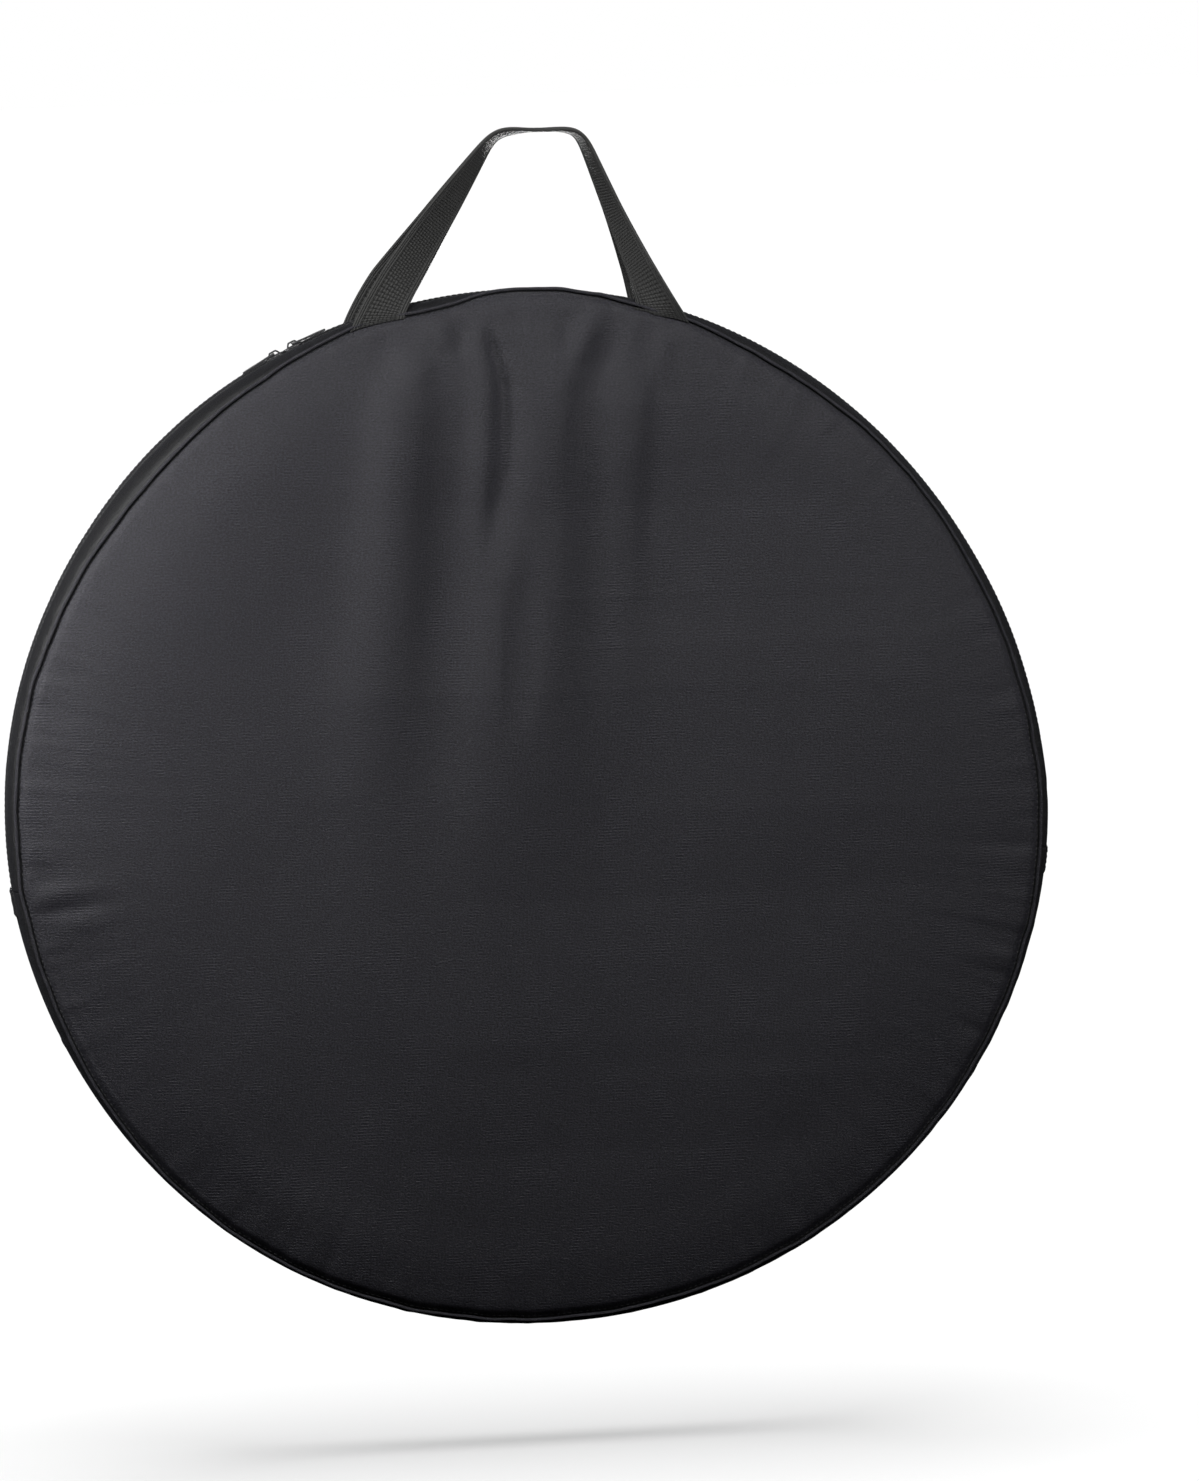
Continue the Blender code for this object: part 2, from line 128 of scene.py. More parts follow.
# Height at which the gusset leaves the zip's shape for its rim's, and the pleats beside its seam
RIM_FROM = 0.0150
PLEAT_HEIGHT, PLEAT_SPREAD = 0.0007, 0.009

# The binding's place beside and below the seam, its ripple, its thickness and how far in its stitches run, and the
# hub patch's depth, its steps round and the radius of its stitches
BINDING_IN, BINDING_DOWN, BINDING_RIPPLE = 0.0010, 0.0014, 0.00025
BINDING_THICKNESS, BINDING_ROW = 0.0016, 0.0070
GUARD_DEPTH, GUARD_STEPS = 0.0020, 72
GUARD_ROW = 0.0282

# Offsets of the photographed bag from true round, in millimetres at degrees from the top
SEAM_SHAPE = (
    (-180, -2.3), (-165, -1.2), (-150, 0.4), (-135, 1.2), (-120, 0.6), (-108, 0.2), (-97, 2.5), (-85, 3.6),
    (-75, 4.2), (-66, 2.4), (-58, 1.0), (-50, -1.4), (-42, -0.8), (-34, 1.2), (-27, 2.4), (-20, 6.0),
    (-16, 6.6), (-12.5, 2.8), (-9, 2.2), (-5, 7.0), (-2.5, 9.6), (2.5, 10.2), (7.4, 9.6), (12, 4.8),
    (15.7, 4.8), (20, 3.8), (25, 0.6), (32, -2.1), (40, -1.9), (48, -2.6), (57, -4.0), (64, -4.7),
    (71, -3.0), (79, -2.2), (86, 0.6), (94, 2.0), (103, 3.4), (120, 3.0), (135, 1.8), (150, 0.0),
    (163, -1.7), (172, -2.4),
)
RIM_SHAPE = (
    (-180, -3.2), (-165, -3.2), (-150, -2.6), (-135, -2.6), (-120, -2.2), (-108, -1.0), (-97, 1.2), (-85, 3.0),
    (-75, 3.4), (-65, 2.8), (-55, 2.3), (-45, 2.6), (-35, 2.4), (-27, 1.2), (-18, 1.0), (-8, 0.6), (0, 1.0),
    (8, 1.6), (18, 1.5), (25, 0.2), (33, -2.0), (42, -3.4), (50, -4.3), (60, -4.4), (68, -2.4), (78, -0.8),
    (86, 2.0), (93, 3.8), (103, 3.5), (120, 3.0), (132, 2.0), (145, 0.6), (160, -0.9), (172, -2.2),
)
ZIP_SHAPE = (
    (-100, 0), (-84, 0), (-70, 1.4), (-55, 1.5), (-40, 0.9), (-31, 0), (-18, 0), (0, 0.5), (18, 0.7),
    (30, -1.0), (42, -2.6), (52, -3.4), (62, -3.2), (72, -1.4), (82, 0), (100, 0),
)
REAR_SEAM_SHAPE = (
    (-180, -1.8), (-150, -1.0), (-120, 1.4), (-90, 2.0), (-60, 1.6), (-35, 0.2), (-20, 3.6), (-15.9, 4.2),
    (-11, 2.0), (0, 3.4), (11, 1.8), (15.9, 4.0), (20, 3.4), (35, -1.0), (60, -2.4), (90, 1.4), (120, 1.8),
    (150, -0.6),
)

# Folds of the front side: knots of (up from the centre, across, height, softness left, softness right), in mm
FRONT_STEPS = (
    ((-350, -150, -2.2, 30, 40), (-260, -205, -2.2, 40, 55), (-120, -240, -2.2, 44, 62), (0, -245, -2.3, 44, 64),
     (140, -228, -2.4, 44, 62), (220, -200, -2.3, 40, 56), (310, -150, 0, 30, 44)),
    ((-240, -120, 0, 34, 34), (-60, -128, 5.4, 32, 32), (20, -134, 8.4, 30, 30), (89, -129, 10.8, 26, 26),
     (158, -116, 11.6, 23, 23), (214, -110, 11.4, 18, 18), (257, -107, 10.4, 15, 15), (289, -104, 9.0, 13, 13),
     (326, -97, 6.0, 10, 10), (350, -90, 2.6, 8, 8), (366, -86, 0, 7, 7)),
    ((-160, -90, 0, 26, 26), (0, -88, -3.2, 24, 24), (89, -84, -5.4, 18, 18), (158, -78, -8.0, 14, 14),
     (214, -76, -8.0, 14, 14), (289, -68, -6.2, 12, 12), (330, -66, -3.6, 10, 10), (352, -62, 0, 8, 8)),
    ((-180, -66, 0, 28, 28), (-59, -60, 2.8, 28, 28), (12, -52, 5.8, 24, 24), (83, -41, 9.0, 20, 20),
     (119, -38, 10.2, 18, 18), (154, -36, 10.2, 17, 17), (183, -36, 8.6, 13, 13), (211, -37, 7.0, 10, 10),
     (249, -38, 6.0, 8, 8), (290, -35, 4.4, 8, 8), (330, -33, 1.4, 6, 6), (350, -32, 0, 6, 6)),
    ((-190, 40, 0, 30, 30), (-59, 37, -4.4, 30, 30), (20, 34, -6.8, 27, 27), (83, 30, -8.4, 22, 22),
     (126, 31, -8.6, 17, 17), (183, 33, -8.2, 13, 13), (254, 31, -7.4, 10, 10), (297, 35, -6.6, 9, 9),
     (318, 40, -5.2, 8, 8), (336, 48, -3.0, 7, 7), (354, 60, 0, 6, 6)),
    ((150, 60, 0, 9, 9), (210, 60, 1.8, 8, 8), (290, 63, 2.6, 6, 6), (340, 72, 1.6, 5, 5), (354, 76, 0, 5, 5)),
    ((0, 76, 0, 16, 16), (80, 77, -2.0, 13, 13), (150, 78, -3.6, 10, 10), (245, 83, -4.4, 7, 7),
     (329, 91, -3.0, 6, 6), (352, 96, 0, 6, 6)),
)
FRONT_GROOVES = (
    ((170, -27, 0, 6, 10), (190, -26, -1.4, 6, 10), (216, -22, -3.4, 6, 10), (247, -16, -5.0, 6, 9.5),
     (279, -14, -5.8, 6, 9), (304, -14, -5.4, 5.2, 8), (326, -18.5, -3.8, 4, 6.5), (342, -23, -2.0, 3, 5),
     (354, -25, 0, 3, 5)),
    ((300, -58, 0, 6, 6), (330, -57, -1.6, 6, 5), (352, -60, -1.4, 4, 4), (362, -62, 0, 4, 4)),
    ((300, 74, 0, 5, 5), (330, 68, -1.6, 5, 5), (352, 72, -1.8, 4, 4), (368, 76, 0, 3, 3)),
    ((296, 50, 0, 5, 5), (326, 58, -1.6, 5, 5), (350, 70, -1.8, 4, 3), (366, 78, 0, 3, 3)),
    ((322, -46, 0, 4, 4), (342, -42, -1.5, 4, 4), (358, -34, -1.5, 3, 3), (368, -28, 0, 3, 3)),
)
REAR_STEPS = (
    ((-120, 110, 0, 26, 26), (60, 120, 2.4, 22, 22), (210, 108, 3.0, 16, 16), (330, 96, 1.6, 12, 12),
     (352, 92, 0, 10, 10)),
    ((-60, -60, 0, 28, 28), (90, -48, -2.2, 22, 22), (220, -40, -2.8, 16, 16), (320, -52, -1.6, 12, 12),
     (350, -60, 0, 10, 10)),
)
REAR_GROOVES = (
    ((160, 22, 0, 7, 10), (230, 14, -1.8, 6, 9), (300, 8, -2.4, 5, 8), (340, 12, -1.2, 4, 6), (354, 14, 0, 4, 6)),
)

# Creases and hollows of the front side that run in from its seam: (across, up, half length inwards, half width
# along the seam, lift), in mm
FRONT_CREASES = (
    (-347.7, -29.5, 9, 4.2, -0.9), (-340.6, -40, 22, 5, 1.2), (-332, -51.5, 18, 4.6, -1.1), (-329, -61, 22, 6, 1.0),
    (-344, -98, 16, 34, -1.8), (-316, -162, 16, 36, -1.6), (-238, -258, 15, 30, -0.9), (-330, 96, 20, 6, -0.5),
    (338, -34, 20, 5.5, -0.6), (322, -112, 18, 6, 0.5), (-98, 331, 20, 6, -1.7), (-57, 339, 14, 5, 1.6),
    (-44, 343, 14, 4.6, -2.4), (-29, 345, 12, 4.4, 1.6), (31, 345, 12, 4.4, -2.2), (45, 343, 15, 5, 2.0),
    (62, 337, 18, 5, -2.4), (88, 331, 22, 6.5, -1.9), (102, 329, 18, 6, 1.6),
)

# Crumples of the gusset beside its seam: (degrees from the top, height from the middle plane, half length in
# degrees, half width, lift), in mm where not in degrees
CRUMPLES = {
    "front": (
        (-13.4, 24, 1.1, 4.0, 1.5), (-12.0, 26, 0.7, 2.5, -1.4), (-10.6, 23, 0.9, 4.0, 1.5), (-9.2, 26, 0.7, 3.0, -1.4),
        (-7.4, 22, 1.2, 5.0, 1.1), (-5.6, 25, 0.8, 4.0, -1.0), (8.6, 24, 1.1, 4.0, 1.0), (10.2, 26, 0.8, 3.0, -1.2),
        (11.8, 23, 0.8, 4.0, 1.5), (13.2, 26, 0.6, 2.6, -1.4), (21.4, 25, 1.1, 3.0, -0.9), (-21.0, 24, 1.3, 4.0, 0.9),
        (-113.9, 14, 0.34, 60, 0.45), (-113.2, 14, 0.30, 60, -0.3), (38, 25, 1.6, 3.0, -0.8), (55, 24, 1.2, 4.0, -0.9),
        (71, 25, 1.4, 3.0, -0.8),
    ),
    "rear": (
        (-12.4, 24, 1.0, 4.0, 1.2), (-10.8, 26, 0.7, 3.0, -1.2), (9.8, 24, 1.0, 4.0, 1.2), (11.6, 26, 0.7, 3.0, -1.2),
        (-40, 24, 1.4, 4.0, -0.8), (62, 25, 1.3, 3.0, -0.8),
    ),
}


def length_property(name, description, default):
    return FloatProperty(name=name, description=description, default=default, unit="LENGTH")


def colour_property(name, description, default):
    return FloatVectorProperty(name=name, description=description, default=default, subtype="COLOR", size=3)


class BagSizes(bpy.types.PropertyGroup):
    """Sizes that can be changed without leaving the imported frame."""

    cover_cells: IntProperty(
        name="Cover cells", description="Cells across the core of a cover before it is refined", default=56, min=16
    )
    cover_thickness: length_property("Cover thickness", "Thickness of the coated fabric", 0.001)
    fullness: length_property("Fullness", "How far the padding lifts a side's middle", 0.0020)
    rear_sink: length_property("Rear sink", "How far the rear side sinks beside its folds", 0.0033)
    welt_radius: length_property("Welt radius", "Radius of the welt in the edge seam", 0.0011)
    pucker: length_property("Pucker", "Height of the gathers along a seam", 0.0004)
    tooth_pitch: length_property("Tooth pitch", "Distance from tooth to tooth of a coil", 0.0016)
    stitch_pitch: length_property("Stitch pitch", "Distance from stitch to stitch", 0.0042)
    stitch_length: length_property("Stitch length", "Length of thread that shows", 0.0031)
    thread_radius: length_property("Thread radius", "Radius of the sewing thread", 0.00026)
    webbing_width: length_property("Webbing width", "Width of a handle's webbing", 0.030)
    webbing_thickness: length_property("Webbing thickness", "Thickness of a handle's webbing", 0.0020)


class BagColours(bpy.types.PropertyGroup):
    """Base colours of the finishes."""

    shell: colour_property("Shell", "Outer fabric", (0.0228, 0.0219, 0.0290))
    # The gusset is the shell's fabric in a darker colour: painted shade round the bag's edge.
    gusset: colour_property("Gusset", "Fabric round the edge", (0.0125, 0.0125, 0.0135))
    lining: colour_property("Lining", "Inner fabric", (0.060, 0.060, 0.065))
    foam: colour_property("Foam", "Foam sheet", (0.18, 0.18, 0.19))
    webbing: colour_property("Webbing", "Handle webbing", (0.033, 0.033, 0.032))
    thread: colour_property("Thread", "Sewing thread", (0.036, 0.036, 0.038))
    metal: colour_property("Metal", "Enamel on the zip sliders", (0.035, 0.035, 0.037))


def sizes():
    return bpy.context.scene.wheel_bag_sizes


class Signal:
    """A shader socket for use in Python expressions. Each operator adds its Math node."""

    def __init__(self, finish, socket):
        self.finish = finish
        self.socket = socket

    def math(self, operation, *values):
        return self.finish.node("ShaderNodeMath", {"operation": operation}, dict(enumerate(values)))

    def __add__(self, other):
        return self.math("ADD", self, other)

    def __sub__(self, other):
        return self.math("SUBTRACT", self, other)

    def __rsub__(self, other):
        return self.math("SUBTRACT", other, self)

    def __mul__(self, other):
        return self.math("MULTIPLY", self, other)

    def __truediv__(self, other):
        return self.math("DIVIDE", self, other)

    def __rtruediv__(self, other):
        return self.math("DIVIDE", other, self)

    __radd__ = __add__
    __rmul__ = __mul__

    def sine(self):
        return self.math("SINE", self)

    def floor(self):
        return self.math("FLOOR", self)

    def absolute(self):
        return self.math("ABSOLUTE", self)

    def remainder(self, other):
        return self.math("FLOORED_MODULO", self, other)

    def above(self, other):
        return self.math("GREATER_THAN", self, other)

    def highest(self, other):
        return self.math("MAXIMUM", self, other)

    def lowest(self, other):
        return self.math("MINIMUM", self, other)


class Finish:
    """A material with a Principled shader, built node by node."""

    def __init__(self, name, roughness, **constants):
        self.material = bpy.data.materials.new(name)
        self.material.use_nodes = True
        self.tree = self.material.node_tree
        self.shader = self.tree.nodes["Principled BSDF"]
        self.shader.inputs["Roughness"].default_value = roughness
        for socket, value in constants.items():
            self.shader.inputs[socket.replace("_", " ")].default_value = value

    def node(self, kind, settings=None, values=None, output=0):
        """Adds a node: its settings first, then the values or links of its sockets."""
        made = self.tree.nodes.new(kind)
        for name, value in (settings or {}).items():
            setattr(made, name, value)
        for name, value in (values or {}).items():
            socket = made.inputs[name]
            if isinstance(value, Signal):
                self.tree.links.new(value.socket, socket)
            else:
                socket.default_value = value
        return Signal(self, made.outputs[output])

    def place(self):
        """Across, along and out of the cloth in metres, from the piece's own attribute."""
        return self.node("ShaderNodeAttribute", {"attribute_name": "cloth"}, output="Vector")

    def cloth(self):
        """The place in the cloth, and its across and along parts."""
        place = self.place()
        outputs = self.node("ShaderNodeSeparateXYZ", values={0: place}).socket.node.outputs
        return place, Signal(self, outputs[0]), Signal(self, outputs[1])

    def noise(self, vector, scale, detail=3.0, roughness=0.55):
        """Noise at one scale, or at a tuple of scales along the axes."""
        if isinstance(scale, tuple):
            vector = self.node("ShaderNodeVectorMath", {"operation": "MULTIPLY"}, {0: vector, 1: scale})
            scale = 1.0
        values = {"Vector": vector, "Scale": scale, "Detail": detail, "Roughness": roughness}
        return self.node("ShaderNodeTexNoise", values=values)

    def mixed(self, share, *colours):
        """Two colours mixed by a share. A colour given as a tuple is set on the socket."""
        first, second = (c if isinstance(c, Signal) else (*c, 1) for c in colours)
        return self.node("ShaderNodeMix", {"data_type": "RGBA"}, {0: share, 6: first, 7: second}, output=2)

    def bump(self, height, distance, strength=1.0):
        values = {"Height": height, "Distance": distance, "Strength": strength}
        self.link(self.node("ShaderNodeBump", values=values), "Normal")

    def link(self, signal, socket):
        self.tree.links.new(signal.socket, self.shader.inputs[socket])

    def plain_weave(self, across, along, pitch_across, pitch_along):
        """Height from 0 to 1 of threads that pass over and under each other."""
        a = across / pitch_across
        b = along / pitch_along
        over = (a.floor() + b.floor()).remainder(2.0)
        upright = (a * math.pi).sine().absolute()
        level = (b * math.pi).sine().absolute()
        high_upright = upright * (0.55 + 0.45 * level)
        high_level = level * (0.55 + 0.45 * upright)
        return over * high_upright + (1 - over) * high_level


def tone(colour, share):
    return tuple(channel * share for channel in colour)


def coated_fabric(name, colour, pitch=0.00105, rib=0.0021, shine=0.5):
    """Fine oxford cloth with faint ribs across, a little slub and a soft sheen."""
    finish = Finish(name, 0.46, Specular_IOR_Level=shine, Sheen_Weight=0.16 * shine, Sheen_Roughness=0.4)
    finish.shader.inputs["Sheen Tint"].default_value = (0.86, 0.88, 1.0, 1)
    place, across, along = finish.cloth()
    weave = finish.plain_weave(across, along, pitch, pitch)
    ribs = (along * (2 * math.pi / rib)).sine() * 0.5 + 0.5
    slub = finish.noise(place, (240.0, 1100.0, 1.0), 2.0)
    cloud = finish.noise(place, (9.0, 9.0, 1.0))
    patches = finish.noise(place, (26.0, 26.0, 1.0), 2.0)
    shown_ribs = ribs * ((patches - 0.42) * 3.0).highest(0.12)
    grain = finish.noise(place, (820.0, 1050.0, 1.0), 3.0, 0.7)
    mottle = finish.noise(place, (600.0, 760.0, 1.0), 1.0)
    height = weave * 0.45 + shown_ribs * 0.55 + slub * 0.4 + grain * 1.9 + mottle * 1.1
    finish.bump(height, 0.00034, 0.9)
    shade = weave * 0.35 + slub * 0.3 + shown_ribs * 0.3 + (grain - 0.5) * 2.6 + (mottle - 0.5) * 2.4
    threads = finish.mixed(shade, tone(colour, 0.5), tone(colour, 1.65))
    finish.link(finish.mixed((cloud - 0.35) * 0.5, threads, tone(colour, 1.12)), "Base Color")
    finish.link(0.46 + (slub - 0.5) * 0.16 + (cloud - 0.5) * 0.08, "Roughness")
    return finish.material


def smooth_lining(name, colour):
    """Thin plain weave, slightly crumpled."""
    finish = Finish(name, 0.48, Specular_IOR_Level=0.5, Sheen_Weight=0.10)
    place, across, along = finish.cloth()
    weave = finish.plain_weave(across, along, 0.0008, 0.0008)
    crumple = finish.noise(place, (34.0, 34.0, 1.0), 4.0)
    finish.bump(weave * 0.3 + crumple * 3.0, 0.00022, 0.6)
    finish.link(finish.mixed(weave * 0.5 + crumple * 0.3, tone(colour, 0.75), tone(colour, 1.2)), "Base Color")
    finish.link(0.42 + crumple * 0.16, "Roughness")
    return finish.material


def open_foam(name, colour):
    """Foam with small open cells."""
    finish = Finish(name, 0.95, Specular_IOR_Level=0.15)
    cells = finish.node("ShaderNodeTexVoronoi", values={"Vector": finish.place(), "Scale": 1400.0})
    finish.bump(cells, 0.0004, 0.8)
    finish.link(finish.mixed(cells, tone(colour, 0.7), tone(colour, 1.1)), "Base Color")
    return finish.material


def heavy_webbing(name, colour):
    """Chunky webbing: blocks of weave in the middle and plain cords towards both edges."""
    finish = Finish(name, 0.66, Specular_IOR_Level=0.36, Sheen_Weight=0.12)
    place, across, along = finish.cloth()
    blocks = finish.plain_weave(across, along, 0.0023, 0.0021)
    cords = (across * (math.pi / 0.0017)).sine().absolute()
    edge = (across.absolute() - 0.0102).above(0.0)
    fibres = finish.noise(place, (2600.0, 300.0, 1.0), 2.0)
    weave = blocks * (1 - edge) + (cords * 0.8 + blocks * 0.25) * edge
    finish.bump(weave + fibres * 0.22, 0.00062, 1.0)
    shade = finish.mixed(weave * 0.95 + (fibres - 0.5) * 0.35, tone(colour, 0.26), tone(colour, 1.8))
    wear = finish.noise(place, (60.0, 25.0, 1.0))
    finish.link(finish.mixed((wear - 0.4) * 0.5, shade, tone(colour, 1.25)), "Base Color")
    finish.link(0.60 + (fibres - 0.5) * 0.25, "Roughness")
    return finish.material


def ribbed_tape(name, colour, pitch=0.0009):
    """Narrow tape with fine ribs across its length."""
    finish = Finish(name, 0.74, Specular_IOR_Level=0.3, Sheen_Weight=0.1)
    _, across, along = finish.cloth()
    ribs = (along * (math.pi / pitch)).sine().absolute()
    slant = ((across.absolute() + along * 0.8) * (math.pi / 0.0014)).sine().absolute()
    finish.bump(ribs * 0.7 + slant * 0.5, 0.0002, 0.8)
    finish.link(finish.mixed(ribs * 0.5 + slant * 0.4, tone(colour, 0.6), tone(colour, 1.35)), "Base Color")
    return finish.material


def moulded_plastic(name, colour, roughness=0.42, grain=900.0):
    """Moulded plastic with fine pits and lighter scuffs."""
    finish = Finish(name, roughness, Specular_IOR_Level=0.5)
    place = finish.place()
    pits = finish.noise(place, grain, 2.0)
    scuffs = finish.noise(place, (60.0, 260.0, 60.0), 4.0)
    finish.bump(pits, 0.00006, 0.6)
    finish.link(finish.mixed((scuffs - 0.45) * 0.8, colour, tone(colour, 2.0)), "Base Color")
    finish.link(roughness + (scuffs - 0.5) * 0.3, "Roughness")
    return finish.material


def worn_enamel(name, colour):
    """Dark enamel on cast metal, rubbed bare along its edges."""
    finish = Finish(name, 0.3, Specular_IOR_Level=0.6)
    edge = finish.node("ShaderNodeNewGeometry", output="Pointiness")
    scratch = finish.noise(finish.place(), (900.0, 260.0, 900.0), 4.0)
    share = ((edge - 0.53) * 9.0 + (scratch - 0.60) * 5.0).highest(0.0).lowest(1.0)
    finish.link(finish.mixed(share, colour, (0.42, 0.42, 0.43)), "Base Color")
    finish.link(share * 0.9, "Metallic")
    finish.link(0.30 + scratch * 0.22, "Roughness")
    finish.bump(scratch, 0.00004, 0.5)
    return finish.material


def sewing_thread(name, colour):
    """Thread of twisted plies."""
    finish = Finish(name, 0.5, Specular_IOR_Level=0.5, Sheen_Weight=0.2)
    _, across, along = finish.cloth()
    plies = ((along + across * 0.6) * (2 * math.pi / 0.0006)).sine() * 0.5 + 0.5
    finish.bump(plies, 0.00006, 0.8)
    finish.link(finish.mixed(plies, tone(colour, 0.6), tone(colour, 1.4)), "Base Color")
    return finish.material


FINISHES = {}


def make_finishes():
    c = bpy.context.scene.wheel_bag_colours
    FINISHES.update(
        shell=coated_fabric("shell_fabric_cloth", c.shell),
        # The gusset's cloth is the shell's fabric, darker and less shiny: painted shade round the bag's edge.
        gusset=coated_fabric("gusset_cloth_painted_shade", c.gusset, shine=0.42),
        lining=smooth_lining("lining_fabric_cloth", c.lining),
        foam=open_foam("grey_foam_sheet", c.foam),
        webbing=heavy_webbing("webbing_weave", c.webbing),
        # The welt's cloth is the shell's colour made lighter: a painted highlight along the round welt.
        welt=coated_fabric("welt_cloth_painted_highlight", tone(c.shell, 1.12), 0.0008, 0.0016),
        binding=ribbed_tape("binding_ribs", (0.026, 0.026, 0.028), 0.0012),
        tape=ribbed_tape("zip_tape_herringbone", (0.020, 0.020, 0.022)),
        coil=moulded_plastic("zip_coil_nylon", (0.020, 0.020, 0.021), 0.34, 2600.0),
        guard=moulded_plastic("hub_guard_sheet", (0.018, 0.018, 0.019)),
        metal=worn_enamel("slider_enamel", c.metal),
        thread=sewing_thread("sewing_thread", c.thread),
    )


def ring_curve(knots, softness=2.2):
    """Offsets round the bag in metres, as a smooth function of the angle from the top."""
    fine = np.arange(-180, 180, 0.5)
    degrees, offsets = np.array(knots, float).T
    values = np.interp(fine, degrees, offsets, period=360)
    away = np.minimum(np.abs(fine + 180), 360 - np.abs(fine + 180))
    weights = np.exp(-0.5 * (away / softness) ** 2)
    weights /= weights.sum()
    smooth = np.real(np.fft.ifft(np.fft.fft(values) * np.fft.fft(weights)))
    return lambda theta: np.interp(np.degrees(theta), fine, smooth, period=360) * MM


SEAM_OFFSET = {"front": ring_curve(SEAM_SHAPE), "rear": ring_curve(REAR_SEAM_SHAPE)}
RIM_OFFSET = ring_curve(RIM_SHAPE)
ZIP_OFFSET = ring_curve(ZIP_SHAPE)
FOLDS = {"front": (FRONT_STEPS, FRONT_GROOVES), "rear": (REAR_STEPS, REAR_GROOVES)}


def gathers(theta, phase, waves=((61, 1.0), (97, 0.8), (143, 0.6), (211, 0.35))):
    """Uneven small waves along a seam, about -1 to 1."""
    slow = 0.55 + 0.45 * np.sin(7 * theta + phase) * np.sin(3 * theta + 2 * phase)
    total = sum(size * np.sin(count * theta + phase * count) for count, size in waves)
    return slow * total / sum(size for _, size in waves) * 1.8


def seam_radius(side, theta):
    uneven = gathers(theta, 0.5 if side == "front" else 1.9, ((31, 1.0), (47, 0.9), (79, 0.5)))
    return SEAM_RADIUS + SEAM_OFFSET[side](theta) + 0.0005 * uneven


def seam_height(side, theta):
    """How far the edge seam stands from the middle plane. The panel is drawn back over the top."""
    lift = np.clip(SEAM_OFFSET[side](theta) / (10 * MM), 0, 1)
    drawn = np.cos(np.clip(theta, -0.25, 0.25) * math.pi / 0.5)
    return SEAM_HALF - 0.0035 * lift * drawn + 0.00035 * gathers(theta, 1.3)


def round_points(side, theta, radius, height):
    """Points at angles from the top, at a radius and a height from the middle plane."""
    theta, radius, height = np.broadcast_arrays(theta, radius, height)
    y = SIDES[side] * height
    return np.stack([radius * np.sin(theta), y, CENTRE.z + radius * np.cos(theta)], axis=-1)


def fold_heights(across, up, steps, grooves):
    """Height in metres of folds given by their knots, at places in metres from the bag's centre."""
    x, z = across / MM, up / MM
    total = np.zeros_like(x)
    for knots in steps + grooves:
        knot_up, *columns = np.array(knots, float).T
        middle, height, left, right = (np.interp(z, knot_up, column) for column in columns)
        away = (x - middle) / np.where(x < middle, left, right)
        if knots in grooves:
            total += height * np.exp(-0.5 * away**2)
        else:
            total += height * (0.5 + 0.5 * np.tanh(away))
    return FOLD_GAIN * total * MM


def smooth_share(value, low, high):
    t = np.clip((value - low) / (high - low), 0, 1)
    return t * t * (3 - 2 * t)


def relief(side, across, up):
    """Folds, hollows and slight swells of one padded side, outwards from its plain crown."""
    reach = np.hypot(across, up) / PANEL_EDGE
    folds = fold_heights(across, up, *FOLDS[side])
    creases = np.zeros_like(folds)
    if side == "front":
        spread = np.where(up > DIP_UP, DIP_ABOVE, DIP_BELOW)
        folds -= DIP_DEPTH * np.exp(-0.5 * ((across / DIP_WIDTH) ** 2 + ((up - DIP_UP) / spread) ** 2))
        for spot_across, spot_up, length, width, lift in np.array(FRONT_CREASES) * MM:
            spot = math.hypot(spot_across, spot_up)
            inwards = (across * spot_across + up * spot_up) / spot - spot
            along = (up * spot_across - across * spot_up) / spot
            creases += lift * np.exp(-0.5 * ((inwards / length) ** 2 + (along / width) ** 2))
        phase, at_top = 0.4, np.exp(-((np.arctan2(across, up) / 0.36) ** 2))
    else:
        folds -= sizes().rear_sink
        phase, at_top = 2.1, 0
    swell = np.sin(19 * across + 7 * up + phase) * np.sin(13 * up - 5 * across + 2 * phase)
    swell += 0.6 * np.sin(31 * across - 11 * up + 3 * phase) * np.sin(23 * up + phase)
    near_edge = smooth_share(reach, 0.80 + 0.13 * at_top, 0.99 + 0.008 * at_top)
    creases *= 1 - smooth_share(reach, 0.975, 0.998)
    return (folds + 0.0007 * swell) * (1 - near_edge) + creases + sizes().fullness * (1 - reach**3)


def crown_height(radius):
    share = np.clip((radius - FLAT_RADIUS) / (PANEL_EDGE - FLAT_RADIUS), 0, 1)
    return SEAM_HALF + (OUTER_HALF - SEAM_HALF) * np.sqrt(1 - share**2)


def disc_layout(cells, rings, core=0.52):
    """An evenly divided disc: unit coordinates across and up, its faces, and the order of its rim points."""
    line = np.linspace(-1, 1, cells + 1)
    u, v = np.meshgrid(line, line, indexing="ij")
    eased = np.stack([u * np.sqrt(1 - v**2 / 2), v * np.sqrt(1 - u**2 / 2)], axis=-1)
    square = np.stack([u, v], axis=-1) * 0.82
    inner = core * (0.5 * eased + 0.5 * square)
    count = cells + 1
    points = list(inner.reshape(-1, 2))
    faces = []
    for i in range(cells):
        for j in range(cells):
            a = i * count + j
            faces.append((a, a + count, a + count + 1, a + 1))
    loop = [i * count for i in range(cells)]
    loop += [cells * count + j for j in range(cells)]
    loop += [i * count + cells for i in range(cells, 0, -1)]
    loop += list(range(cells, 0, -1))
    corner = math.atan2(-1, -1)
    turns = corner + 2 * math.pi * np.arange(len(loop)) / len(loop)
    circle = np.stack([np.cos(turns), np.sin(turns)], axis=-1)
    start = np.array([points[k] for k in loop])
    previous = loop
    for ring in range(1, rings + 1):
        share = 1 - (1 - ring / rings) ** 1.35
        row = start * (1 - share) + circle * share
        first = len(points)
        points += list(row)
        current = [first + k for k in range(len(loop))]
        for k in range(len(loop)):
            n = (k + 1) % len(loop)
            faces.append((previous[k], current[k], current[n], previous[n]))
        previous = current
    return np.array(points), faces, previous


